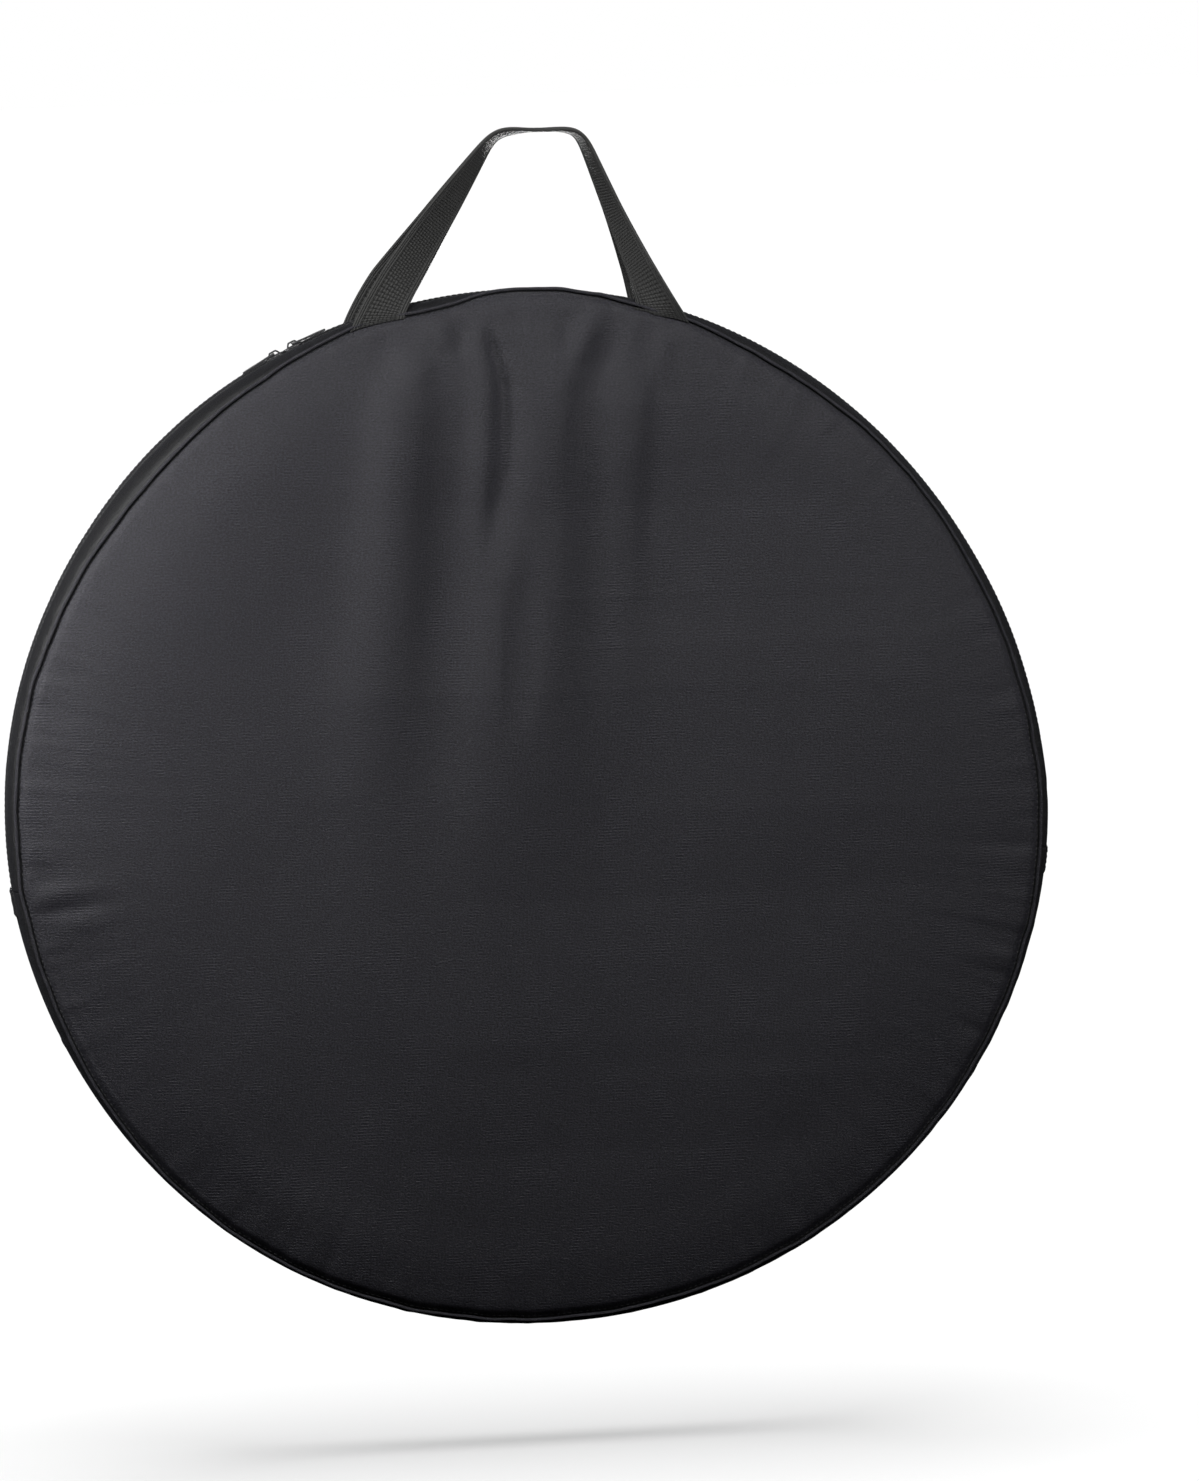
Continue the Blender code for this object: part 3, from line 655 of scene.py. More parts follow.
def make_piece(name, points, faces, finish, cloth=None, outward=True):
    """A mesh object in the scene, with its finish and its place across, along and out of the cloth."""
    mesh = bpy.data.meshes.new(name)
    mesh.from_pydata(np.asarray(points).tolist(), [], [list(map(int, face)) for face in faces])
    if cloth is not None:
        attribute = mesh.attributes.new("cloth", "FLOAT_VECTOR", "POINT")
        attribute.data.foreach_set("vector", np.asarray(cloth, np.float32).ravel())
    if outward:
        shape = bmesh.new()
        shape.from_mesh(mesh)
        bmesh.ops.recalc_face_normals(shape, faces=shape.faces)
        shape.to_mesh(mesh)
        shape.free()
    mesh.polygons.foreach_set("use_smooth", [True] * len(mesh.polygons))
    mesh.materials.append(FINISHES[finish])
    piece = bpy.data.objects.new(name, mesh)
    bpy.context.scene.collection.objects.link(piece)
    return piece


def rung_faces(rungs, around, closed=False, capped=True):
    """Faces of a skin over rungs that are closed loops, capped at both ends unless it is closed itself."""
    faces = []
    for i in range(rungs if closed else rungs - 1):
        k = (i + 1) % rungs
        for j in range(around):
            n = (j + 1) % around
            faces.append((i * around + j, i * around + n, k * around + n, k * around + j))
    if capped and not closed:
        faces.append(tuple(range(around))[::-1])
        faces.append(tuple((rungs - 1) * around + j for j in range(around)))
    return faces


def repeated(faces, count, points_each):
    """The faces of a row of equal forms."""
    return [tuple(points_each * turn + k for k in face) for turn in range(count) for face in faces]


def skinned(name, grid, cloth, finish, closed=False):
    """A piece over a grid of rungs, with its places in the cloth."""
    faces = rung_faces(*grid.shape[:2], closed)
    return make_piece(name, grid.reshape(-1, 3), faces, finish, cloth.reshape(-1, 3))


def two_faced(outer, inner):
    """Rungs that run out along one face and back along the other."""
    return np.concatenate([outer, inner[:, ::-1]], axis=1)


def normalised(vectors):
    return vectors / np.linalg.norm(vectors, axis=-1, keepdims=True)


def bake_modifiers(piece):
    """Replaces the piece's mesh with what its modifiers make of it."""
    graph = bpy.context.evaluated_depsgraph_get()
    made = bpy.data.meshes.new_from_object(piece.evaluated_get(graph), preserve_all_data_layers=True, depsgraph=graph)
    piece.modifiers.clear()
    piece.data = made
    return piece


def band(name, side, theta, radii, heights, thickness, finish):
    """A strip round the bag from arrays of (angle, profile point), with a wall of even thickness inside."""
    turns, radii, heights = np.broadcast_arrays(theta[:, None], radii, heights)
    outer = round_points(side, turns, radii, heights)
    inner = round_points(side, turns, radii - thickness, heights)
    place = np.stack([heights, turns * BAG_RADIUS, radii * 0], axis=-1)
    return skinned(name, two_faced(outer, inner), two_faced(place, place), finish)


def fold_with(piece):
    """Bakes the piece's place into its mesh."""
    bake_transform(piece)
    return piece


def sewn_in(piece, side, slot, *nodes):
    """A piece of one side, with its place baked into its mesh, that stands for nodes of that side."""
    fold_with(piece)
    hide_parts(*(f"{side}_{node}" for node in nodes))
    return piece


def riding(piece, body, node):
    """A piece that moves with one body and stands for one node."""
    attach(piece, body)
    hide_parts(node)
    return piece


def cover_surface(side, unit):
    """Outer surface of one side at unit disc coordinates. Past the rim it turns into the seam."""
    reach = np.hypot(unit[:, 0], unit[:, 1])
    theta = np.arctan2(unit[:, 0], unit[:, 1])
    inside = np.minimum(reach, 1)
    tucked = (reach - inside) / TUCK_REACH
    edge = seam_radius(side, theta) - (SEAM_RADIUS - PANEL_EDGE)
    radius = inside * (PANEL_EDGE + (edge - PANEL_EDGE) * smooth_share(inside, 0.25, 1.0))
    radius -= TUCK_DEPTH * tucked**1.8 + 0.0007 * smooth_share(inside, 0.97, 1.0)
    across, up = radius * np.sin(theta), radius * np.cos(theta)
    height = crown_height(inside * PANEL_EDGE) + relief(side, across, up)
    height += (seam_height(side, theta) - SEAM_HALF) * inside**6
    lowest = COVER_LOWEST - RIM_DROP * smooth_share(inside, 0.965, 0.995)
    height = lowest + EASED_OVER * np.logaddexp(0, (height - lowest) / EASED_OVER) - TUCK_DEPTH * tucked**0.7
    drawn = smooth_share(inside, 0.90, 0.97) * (1 - smooth_share(inside, 0.985, 1.0))
    height += sizes().pucker * gathers(theta, 0.7 if side == "front" else 2.6) * drawn
    height -= GROOVE_DEPTH * smooth_share(inside, 0.984, 1.0)
    return np.stack([across, SIDES[side] * height, CENTRE.z + up], axis=-1)


def swell(side, unit, faces):
    """How a cover sewn down round its rim moves as cloth over its padding, at unit disc coordinates."""
    rest = cover_surface(side, unit)
    reach = np.hypot(unit[:, 0], unit[:, 1])
    turned = [face[::-1] for face in faces] if side == "rear" else faces
    piece = make_piece(f"{side}_cover_cloth", rest, turned, "shell", outward=False)
    sewn = piece.vertex_groups.new(name="sewn")
    full = piece.vertex_groups.new(name="full")
    for k, (held, loose) in enumerate(zip(smooth_share(reach, 0.945, 0.985), smooth_share(reach, 0.55, 0.85))):
        sewn.add([k], float(held), "REPLACE")
        full.add([k], float(loose), "REPLACE")
    cloth = piece.modifiers.new("Cloth", "CLOTH")
    settings = cloth.settings
    settings.vertex_group_mass = "sewn"
    settings.pin_stiffness = 4.0
    settings.quality = 6
    settings.mass = 0.25
    settings.tension_stiffness = settings.compression_stiffness = 30
    settings.shear_stiffness = 12
    settings.bending_stiffness = 4.0
    settings.use_pressure = True
    settings.uniform_pressure_force = 4.0
    settings.vertex_group_shrink = "full"
    settings.shrink_min, settings.shrink_max = 0.0, -0.014
    settings.effector_weights.gravity = 0
    cloth.point_cache.frame_start, cloth.point_cache.frame_end = 1, CLOTH_FRAMES
    scene = bpy.context.scene
    for step in range(1, CLOTH_FRAMES + 1):
        scene.frame_set(step)
    graph = bpy.context.evaluated_depsgraph_get()
    shift = np.array([v.co for v in piece.evaluated_get(graph).data.vertices]) - rest
    scene.frame_set(1)
    bpy.data.objects.remove(piece, do_unlink=True)
    length = np.linalg.norm(shift, axis=1, keepdims=True)
    return shift * SWELL_CAP * np.tanh(length / SWELL_CAP) / np.maximum(length, 1e-9)


def make_cover(side):
    """Outer cover: a fine disc in relief, with the thickness of its fabric behind it."""
    cells = sizes().cover_cells
    unit, faces, rim = disc_layout(cells, cells // 3)
    for step in (1, 2, 3):
        current = np.arange(len(unit), len(unit) + len(rim))
        unit = np.concatenate([unit, normalised(unit[rim]) * (1 + TUCK_REACH * step / 3)])
        faces += [(rim[k - 1], current[k - 1], current[k], rim[k]) for k in range(len(rim))]
        rim = current
    moved = swell(side, unit, faces)
    piece = make_piece(f"{side}_cover", unit[:, [0, 0, 1]] * (1, 0, 1), faces, "shell", moved, outward=False)
    finer = piece.modifiers.new("Finer", "SUBSURF")
    finer.subdivision_type = "SIMPLE"
    finer.levels = finer.render_levels = 2
    bake_modifiers(piece)
    mesh = piece.data
    flat = np.array([v.co for v in mesh.vertices])
    shift = np.array([v.vector for v in mesh.attributes["cloth"].data])
    points = cover_surface(side, flat[:, [0, 2]]) + shift
    mesh.vertices.foreach_set("co", points.astype(np.float32).ravel())
    place = (points - MIDDLE)[:, [0, 2, 1]] * (1, 1, 0)
    mesh.attributes["cloth"].data.foreach_set("vector", place.astype(np.float32).ravel())
    mesh.update()
    if mesh.polygons[0].normal.y * SIDES[side] < 0:
        mesh.flip_normals()
    walled(piece, sizes().cover_thickness, -1)
    sewn_in(piece, side, "shell_fabric", "panel_upper", "panel_lower")
    return piece


def walled(piece, thickness, offset):
    """Gives a surface the thickness of its cloth."""
    wall = piece.modifiers.new("Wall", "SOLIDIFY")
    wall.thickness = thickness
    wall.offset = offset
    return bake_modifiers(piece)


def make_foam(side):
    """Foam sheet that fills the room between a cover and its lining."""
    unit, faces, rim = disc_layout(PAD_CELLS, PAD_RINGS)
    scaled = unit * (FOAM_EDGE / PANEL_EDGE)
    front = cover_surface(side, scaled)
    height = np.abs(front[:, 1])
    for shift in (-0.010, -0.005, 0.005, 0.010):
        beside = cover_surface(side, scaled + np.array([shift / PANEL_EDGE, 0]))
        height = np.minimum(height, np.abs(beside[:, 1]))
    front[:, 1] = SIDES[side] * np.maximum(height - FOAM_BELOW, FOAM_BACK + FOAM_LEAST)
    back = front.copy()
    back[:, 1] = SIDES[side] * (FOAM_BACK + 0.0002 * smooth_share(np.hypot(unit[:, 0], unit[:, 1]), 0.97, 1.0))
    count = len(front)
    low = [tuple(count + k for k in face[::-1]) for face in faces]
    wall = [(rim[k], rim[k - 1], count + rim[k - 1], count + rim[k]) for k in range(len(rim))]
    points = np.concatenate([front, back])
    piece = make_piece(f"{side}_foam", points, faces + low + wall, "foam", points - MIDDLE)
    sewn_in(piece, side, "grey_foam", "foam_upper", "foam_lower")
    return piece


def make_lining(side):
    """Lining behind the foam, slightly wavy inside its sewn edge."""
    unit, faces, _ = disc_layout(PAD_CELLS, PAD_RINGS)
    reach = np.hypot(unit[:, 0], unit[:, 1])
    across, up = unit.T * LINING_EDGE
    waves = np.sin(41 * across + 9 * up) * np.sin(37 * up - 13 * across) * (reach > 0.15)
    height = LINING_FACE - LINING_SAG + LINING_WAVE * waves * (1 - reach**8)
    points = np.stack([across, SIDES[side] * height, CENTRE.z + up], axis=-1)
    cloth = np.stack([across, up, across * 0], axis=-1)
    piece = walled(make_piece(f"{side}_lining", points, faces, "lining", cloth, outward=False), LINING_THICKNESS, 0)
    sewn_in(piece, side, "lining_fabric", "lining_upper", "lining_lower")
    across = 2 * LINING_EDGE
    return piece


def make_guard(side):
    """Stiff round patch with a rolled edge, a pressed ring and a domed middle."""
    profile = np.array([
        (0.0, 2.1), (6.0, 2.0), (14.5, 1.4), (16.0, 1.0), (17.5, 1.4), (25.0, 1.9), (30.0, 2.0), (32.2, 1.7),
        (33.0, 1.0), (33.0, 0.3), (32.4, 0.0),
    ]) * MM
    radii, heights = profile[:, 0], GUARD_SEAT - profile[:, 1]
    turns = np.linspace(0, 2 * math.pi, GUARD_STEPS, endpoint=False)
    rings = [round_points(side, turns, r, h) for r, h in zip(radii[1:], heights[1:])]
    middle, back = (round_points(side, np.zeros(1), 0, h) for h in (heights[0], GUARD_SEAT))
    points = np.concatenate([middle, *rings, back])
    faces = [(0, 1 + k, 1 + (k + 1) % GUARD_STEPS) for k in range(GUARD_STEPS)]
    for first, *others in rung_faces(len(rings), GUARD_STEPS, capped=False):
        faces.append(tuple(1 + k for k in (first, *reversed(others))))
    last = len(points) - 1 - GUARD_STEPS
    faces += [(last + k, len(points) - 1, last + (k + 1) % GUARD_STEPS) for k in range(GUARD_STEPS)]
    piece = make_piece(f"{side}_hub_patch", points, faces, "guard", points - MIDDLE)
    finer = piece.modifiers.new("Finer", "SUBSURF")
    finer.levels = finer.render_levels = 1
    bake_modifiers(piece)
    return sewn_in(piece, side, "hub_guard_plastic", "hub_guard")


def tube(path, radius, around=10, closed=False, flat=1.0, up=None):
    """Rungs of a round or flattened tube along a path of points."""
    path = np.asarray(path, float)
    ahead = np.roll(path, -1, axis=0) - np.roll(path, 1, axis=0)
    if not closed:
        ahead[0], ahead[-1] = path[1] - path[0], path[-1] - path[-2]
    ahead = normalised(ahead)
    up = np.broadcast_to(np.asarray(up, float), path.shape) if up is not None else path - MIDDLE
    side = normalised(np.cross(ahead, up))
    out = np.cross(side, ahead)
    turns = 2 * math.pi * np.arange(around) / around
    radius = np.broadcast_to(np.asarray(radius, float), (len(path),))[:, None, None]
    spread = np.cos(turns)[None, :, None] * side[:, None] + flat * np.sin(turns)[None, :, None] * out[:, None]
    return path[:, None] + radius * spread


def ring_cloth(across, theta):
    """Places in a cloth that runs round the seam."""
    across, along = np.broadcast_arrays(across, (theta * SEAM_RADIUS)[:, None])
    return np.stack([across, along, along * 0], axis=-1)


def make_welt(side):
    """Round welt in the edge seam."""
    theta = np.linspace(-math.pi, math.pi, 1080, endpoint=False)
    radius = seam_radius(side, theta) + 0.00012 * gathers(theta, 0.9)
    path = round_points(side, theta, radius, seam_height(side, theta) + 0.0001)
    grid = tube(path, sizes().welt_radius * (1 + 0.10 * gathers(theta, 1.9)), 10, closed=True)
    cloth = ring_cloth(np.arange(10)[None] * 0.0007, theta)
    piece = skinned(f"{side}_welt", grid, cloth, "welt", closed=True)
    return sewn_in(piece, side, "welt_cord", "piping_upper", "piping_lower")


def make_binding(side):
    """Tape folded over the seam's raw edges inside the bag."""
    theta = np.linspace(-math.pi, math.pi, 720, endpoint=False)
    inwards, lifts = np.array([
        (0.0, -0.2), (-2.2, 0.0), (-6.0, 0.0), (-8.4, -0.1), (-9.0, -0.8), (-8.4, -1.5), (-6.0, -1.6), (-2.2, -1.6),
        (0.0, -1.4),
    ]).T * MM
    radii = (seam_radius(side, theta) - BINDING_IN)[:, None] + inwards
    heights = (seam_height(side, theta) - BINDING_DOWN + BINDING_RIPPLE * gathers(theta, 2.2))[:, None] + lifts
    grid = round_points(side, theta[:, None], radii, heights)
    piece = skinned(f"{side}_binding", grid, ring_cloth(inwards, theta), "binding", closed=True)
    return sewn_in(piece, side, "binding_tape", "binding_upper", "binding_lower")


def gusset_profile(side, theta, heights):
    """Outer radius of the gusset at heights from the middle plane, from its seam over its bulge."""
    turn = np.arctan2(np.sin(theta), np.cos(theta))
    share = np.sqrt(1 - np.clip(heights / GUSSET_EDGE, 0, 1) ** 2)
    near_zip = np.clip((heights - CHANNEL_HALF) / (RIM_FROM - CHANNEL_HALF), 0, 1)
    zip_part = (1 - near_zip**0.7) * (np.abs(turn) < ZIP_REACH)
    rim = BAG_RADIUS + RIM_OFFSET(theta) * (1 - zip_part) + ZIP_OFFSET(theta) * zip_part
    low = seam_radius(side, theta)
    drawn = np.exp(-((heights - GUSSET_EDGE) / PLEAT_SPREAD) ** 2) * (share > 0.02)
    pleats = gathers(theta, 0.3 if side == "front" else 1.7, ((83, 1.0), (127, 0.8), (181, 0.5)))
    radius = low + (rim - low) * share + PLEAT_HEIGHT * pleats * drawn * share
    for degrees, height, length, width, lift in CRUMPLES[side]:
        away = ((np.degrees(turn) - degrees) / length) ** 2 + ((heights / MM - height) / width) ** 2
        radius = radius + lift * MM * np.exp(-0.5 * away) * np.sqrt(share)
    return radius


def gusset_radius(theta, heights):
    """Outer radius of the gusset at signed heights, positive on the front side."""
    front, rear = (gusset_profile(side, theta, np.abs(heights)) for side in SIDES)
    return np.where(heights >= 0, front, rear)


def gusset_rows(side, theta, levels):
    """Radii and heights of one side's gusset, whose edge follows the seam."""
    heights = np.tile(levels, (len(theta), 1))
    radii = gusset_profile(side, theta[:, None], np.minimum(heights, GUSSET_EDGE))
    return radii, heights + (seam_height(side, theta) - SEAM_HALF)[:, None] * (heights / GUSSET_EDGE) ** 4


def zip_angles(count, spare=ZIP_GAP):
    """Angles along the zip, short of its ends by a spare angle."""
    return np.linspace(-ZIP_REACH + spare, ZIP_REACH - spare, count)


def make_gusset_band(side):
    """Gusset between one seam and the zip, with its edge folded under beside the zip."""
    theta = zip_angles(620)
    levels = (0.0288, 0.0284, 0.0276, 0.0262, 0.0240, 0.0210, 0.0170, 0.0130, 0.0095, 0.0074, 0.0066, 0.0063)
    radii, heights = gusset_rows(side, theta, levels)
    radii[:, -2:] -= (0.0001, 0.0005)
    piece = band(f"{side}_gusset", side, theta, radii, heights, GUSSET_THICKNESS, "gusset")
    return sewn_in(piece, side, "gusset_fabric", "gusset_band")


def make_gusset_bottom():
    """Gusset from seam to seam below the ends of the zip."""
    theta = np.linspace(ZIP_REACH + ZIP_GAP, 2 * math.pi - ZIP_REACH - ZIP_GAP, 560)
    levels = (0.0288, 0.0284, 0.0276, 0.0262, 0.0240, 0.0205, 0.0160, 0.0105, 0.0050, 0.0)
    (radii, heights), (far_radii, far_heights) = (gusset_rows(side, theta, levels) for side in SIDES)
    radii = two_faced(radii, far_radii[:, :-1])
    heights = two_faced(heights, -far_heights[:, :-1])
    piece = band("lower_gusset", "front", theta, radii, heights, GUSSET_THICKNESS, "gusset")
    return riding(piece, "bag_body", "gusset_bottom")


def make_zip_tape(side):
    """Zip tape, raised a little where its coil is sewn on."""
    theta = zip_angles(480)
    levels = np.array([TAPE_EDGE, 0.0120, 0.0080, 0.0045, 0.0033, 0.0020, 0.0007])
    raised = np.array([0, 0, 0, 0, 0.00015, 0.00015, 0])
    radii = TAPE_TOP + ZIP_OFFSET(theta)[:, None] + raised
    piece = band(f"{side}_tape", side, theta, radii, levels, TAPE_THICKNESS, "tape")
    return sewn_in(piece, side, "zip_tape_fabric", "zip_tape")


def make_zip_coil(side):
    """A row of nylon coil turns, set half a pitch off those of the other side."""
    pitch = sizes().tooth_pitch / BAG_RADIUS
    start = -ZIP_REACH + 0.004 + (pitch / 2 if side == "rear" else 0)
    turns = np.arange(start, ZIP_REACH - 0.004, pitch)[:, None, None]
    levels = np.array([0.00305, 0.0026, 0.0015, 0.0006, -0.0001])
    halves = np.array([0.62, 0.80, 0.72, 0.86, 0.50]) * MM / 2 * 1.25
    tops = np.array([0.55, 0.95, 1.0, 1.0, 0.72])
    corners = 8
    spin = 2 * math.pi * (np.arange(corners) + 0.5) / corners
    middle = (COIL_BASE + COIL_TOP) / 2
    radii = middle + (COIL_TOP - COIL_BASE) / 2 * tops[:, None] * np.sin(spin) + ZIP_OFFSET(turns)
    theta = turns + halves[:, None] * np.cos(spin) / middle
    points = round_points(side, theta, radii, levels[:, None]).reshape(-1, 3)
    faces = repeated(rung_faces(len(levels), corners), len(turns), len(levels) * corners)
    piece = make_piece(f"{side}_coil", points, faces, "coil", points - MIDDLE)
    return sewn_in(piece, side, "zip_coil_plastic", "zip_coil")


def make_end_tab(hand):
    """Folded tab of gusset fabric sewn over an end of the zip."""
    rows, columns = 14, 15
    theta = HANDS[hand] * np.linspace(ZIP_REACH + ZIP_GAP, ZIP_REACH + END_TAB_SPAN, rows)
    levels = np.linspace(0.013, -0.013, columns)
    row, column = np.arange(rows)[:, None], np.arange(columns)
    at_edge = (row % (rows - 1) == 0) | (column % (columns - 1) == 0)
    radii = gusset_radius(theta[:, None], levels) + END_TAB_THICKNESS - 0.0006 * at_edge + 0.0001 * np.sin(row * 1.3)
    piece = band(f"{hand}_end_tab", "front", theta, radii, levels, END_TAB_THICKNESS, "gusset")
    return riding(piece, "bag_body", f"zip_end_tab_{hand}")


def rim_frame(angle, radius):
    """Frame on the zip line: X along the zip to the right, Y out of the rear side, Z away from the centre."""
    lean = Matrix.Translation(CENTRE) @ Matrix.Rotation(angle, 4, "Y")
    return lean @ Matrix.Translation((0, 0, radius))


def block(outline, low, high):
    """Points and faces of an upright block over an outline of (x, y) points."""
    count = len(outline)
    points = [(x, y, low) for x, y in outline] + [(x, y, high) for x, y in outline]
    faces = [tuple(range(count))[::-1], tuple(range(count, 2 * count))]
    faces += [(k, (k + 1) % count, count + (k + 1) % count, count + k) for k in range(count)]
    return points, faces


def joined(parts):
    points, faces = [], []
    for part_points, part_faces in parts:
        start = len(points)
        points += [tuple(p) for p in part_points]
        faces += [tuple(start + k for k in face) for face in part_faces]
    return points, faces


def make_slider(hand):
    """Zip slider: top plate with a raised middle and flanges, keel plate, post and bail."""
    degrees, heading = SLIDER_ANGLES[hand]
    nose = [(-6.4, -3.6), (-4.6, -4.9), (-1.2, -5.4), (2.2, -5.2), (4.8, -4.4), (6.3, -3.4)]
    outline = [(x * MM, y * MM) for x, y in nose] + [(x * MM, -y * MM) for x, y in reversed(nose)]
    inner = [(x * 0.72, y * 0.62) for x, y in outline]
    keel = [(x * 0.78, y * 0.82) for x, y in outline]
    keel_top = TAPE_TOP - TAPE_THICKNESS - 0.00051 - 0.0003 - SLIDER_SEAT
    post = [(-0.0015, -0.0003), (0.0015, -0.0003), (0.0015, 0.0003), (-0.0015, 0.0003)]
    flanges = []
    for sign in (-1, 1):
        lip = [(-0.0050, sign * 0.0047), (0.0030, sign * 0.0050), (0.0030, sign * 0.0041), (-0.0050, sign * 0.0038)]
        flanges.append(block(lip[::sign], -0.0012, 0.0002))
    share = np.linspace(0, 1, 15)
    rise = np.minimum(1.0, np.sin(math.pi * share) * 1.55) ** 0.8
    arch = np.stack([-0.0042 + 0.0084 * share, share * 0, 0.0010 + 0.0030 * rise], axis=-1)
    bail = tube(arch, 0.00066, 8, up=(0, 1, 0), flat=1.45)
    points, faces = joined([
        block(outline, 0.0, 0.0010),
        block(inner, 0.0009, 0.0014),
        block(keel, keel_top - 0.0010, keel_top),
        block(post, keel_top - 0.0002, 0.0002),
        *flanges,
        (bail.reshape(-1, 3), rung_faces(*bail.shape[:2])),
    ])
    place = rim_frame(math.radians(degrees), SLIDER_SEAT) @ Matrix.Rotation(heading, 4, "Z")
    piece = make_piece(f"{hand}_slider", [place @ Vector(p) for p in points], faces, "metal", points)
    edge = piece.modifiers.new("Edges", "BEVEL")
    edge.width = 0.00028
    edge.segments = 2
    edge.limit_method = "ANGLE"
    edge.angle_limit = math.radians(28)
    bake_modifiers(piece)
    return riding(piece, f"slider_{hand}", f"slider_{hand}")


def rounded_outline(points, radius):
    """An outline with its corners rounded in four steps."""
    made = []
    for k, corner in enumerate(points):
        corner = Vector(corner)
        before, after = Vector(points[k - 1]), Vector(points[(k + 1) % len(points)])
        first = corner + (before - corner).normalized() * radius
        last = corner + (after - corner).normalized() * radius
        for t in (0, 0.25, 0.5, 0.75, 1):
            made.append(tuple(first * (1 - t) ** 2 + corner * 2 * t * (1 - t) + last * t**2))
    return made


def make_pull(hand):
    """Cast pull tab with a window for the bail, a waist, and ribs where fingers hold it."""
    degrees, heading = SLIDER_ANGLES[hand]
    half, round_edge = 0.0006, 0.00025
    edge = [(-0.6, -2.9), (6.2, -2.9), (8.5, -2.1), (12.5, -2.2), (21.0, -3.0), (25.4, -2.0)]
    outline = [(x * MM, y * MM) for x, y in edge] + [(x * MM, -y * MM) for x, y in reversed(edge)]
    hole = [(0.0006, -0.0015), (0.0006, 0.0015), (0.0056, 0.0015), (0.0056, -0.0015)]
    curve = bpy.data.curves.new(f"{hand}_pull_outline", "CURVE")
    curve.dimensions = "2D"
    curve.fill_mode = "BOTH"
    curve.extrude = half - round_edge
    curve.bevel_depth = round_edge
    curve.bevel_resolution = 2
    curve.offset = -round_edge
    for points, radius in ((outline, 0.0008), (hole, 0.0005)):
        loop = rounded_outline(points, radius)
        spline = curve.splines.new("POLY")
        spline.points.add(len(loop) - 1)
        spline.use_cyclic_u = True
        for point, (x, y) in zip(spline.points, loop):
            point.co = (x, y, 0, 1)
    holder = bpy.data.objects.new(f"{hand}_pull_outline", curve)
    bpy.context.scene.collection.objects.link(holder)
    graph = bpy.context.evaluated_depsgraph_get()
    mesh = bpy.data.meshes.new_from_object(holder.evaluated_get(graph))
    bpy.data.objects.remove(holder, do_unlink=True)
    parts = [([v.co for v in mesh.vertices], [p.vertices for p in mesh.polygons])]
    for x in (0.0168, 0.0190, 0.0212):
        bar = [(x - 0.0004, -0.0017), (x + 0.0004, -0.0017), (x + 0.0004, 0.0017), (x - 0.0004, 0.0017)]
        parts += [block(bar, -half - 0.0002, -half + 0.0001), block(bar, half - 0.0001, half + 0.0002)]
    points, faces = joined(parts)
    axis = 0.0012 + (0.0023 + 0.0002) / 2
    tilt = math.atan((axis - 0.0012 - half - 0.0003) / 0.0065)
    place = rim_frame(math.radians(degrees), SLIDER_SEAT + axis)
    place = place @ Matrix.Rotation(heading, 4, "Z") @ Matrix.Rotation(tilt, 4, "Y")
    piece = make_piece(f"{hand}_pull_tab", [place @ Vector(p) for p in points], faces, "metal", points)
    weld = piece.modifiers.new("Weld", "WELD")
    weld.merge_threshold = 0.00001
    bake_modifiers(piece)
    return riding(piece, f"pull_{hand}", f"pull_{hand}")


# Route of the handles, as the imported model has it
GRIP_LENGTH = 0.059
GRIP_OFFSET = {"front": 0.0175, "rear": 0.0210}
GRIP_BESIDE = 0.016
FOOT_ANGLES = {"front": (-15.9, 15.9), "rear": (-16.3, 16.6)}
FOOT_HEIGHT = 0.0325
FOOTPRINT = 0.041
LEG_START = Vector((0.0075, 0, 0.014))

# How fast each leg turns towards the grip, and the heights over which the legs lean in and start to swing
TWISTS = {"front": (1.08, 0.31), "rear": (1.0, 0.29)}
DRAWN_OVER = 0.075
LINE_STEP = 0.0016
COLUMNS = 37

# How the webbing is sewn in at its feet, and its thin edges, its cords along them and its hollow section
FOOT_HOLD, SEWN_IN, SEWN_BELOW = 0.034, 0.0022, 0.0006
EDGE_THINNED, EDGE_FROM, EDGE_TO = 0.00062, 0.0140, 0.0150
CORD_HEIGHT, CORD_PITCH, CORDS_FROM = 0.00012, 0.0034, 0.0100
CUP_DEPTH = 0.0022


def lengths_along(path):
    return np.concatenate([[0], np.cumsum(np.linalg.norm(np.diff(path, axis=0), axis=1))])


def sampled(path, reached, places):
    """Points of a path at lengths along it."""
    return np.stack([np.interp(places, reached, path[:, k]) for k in range(3)], axis=-1)


def eased_line(points, spread):
    """A dense line with its corners eased, and its ends kept."""
    line = points.copy()
    for _ in range(spread):
        line[1:-1] = 0.25 * line[:-2] + 0.5 * line[1:-1] + 0.25 * line[2:]
    return line


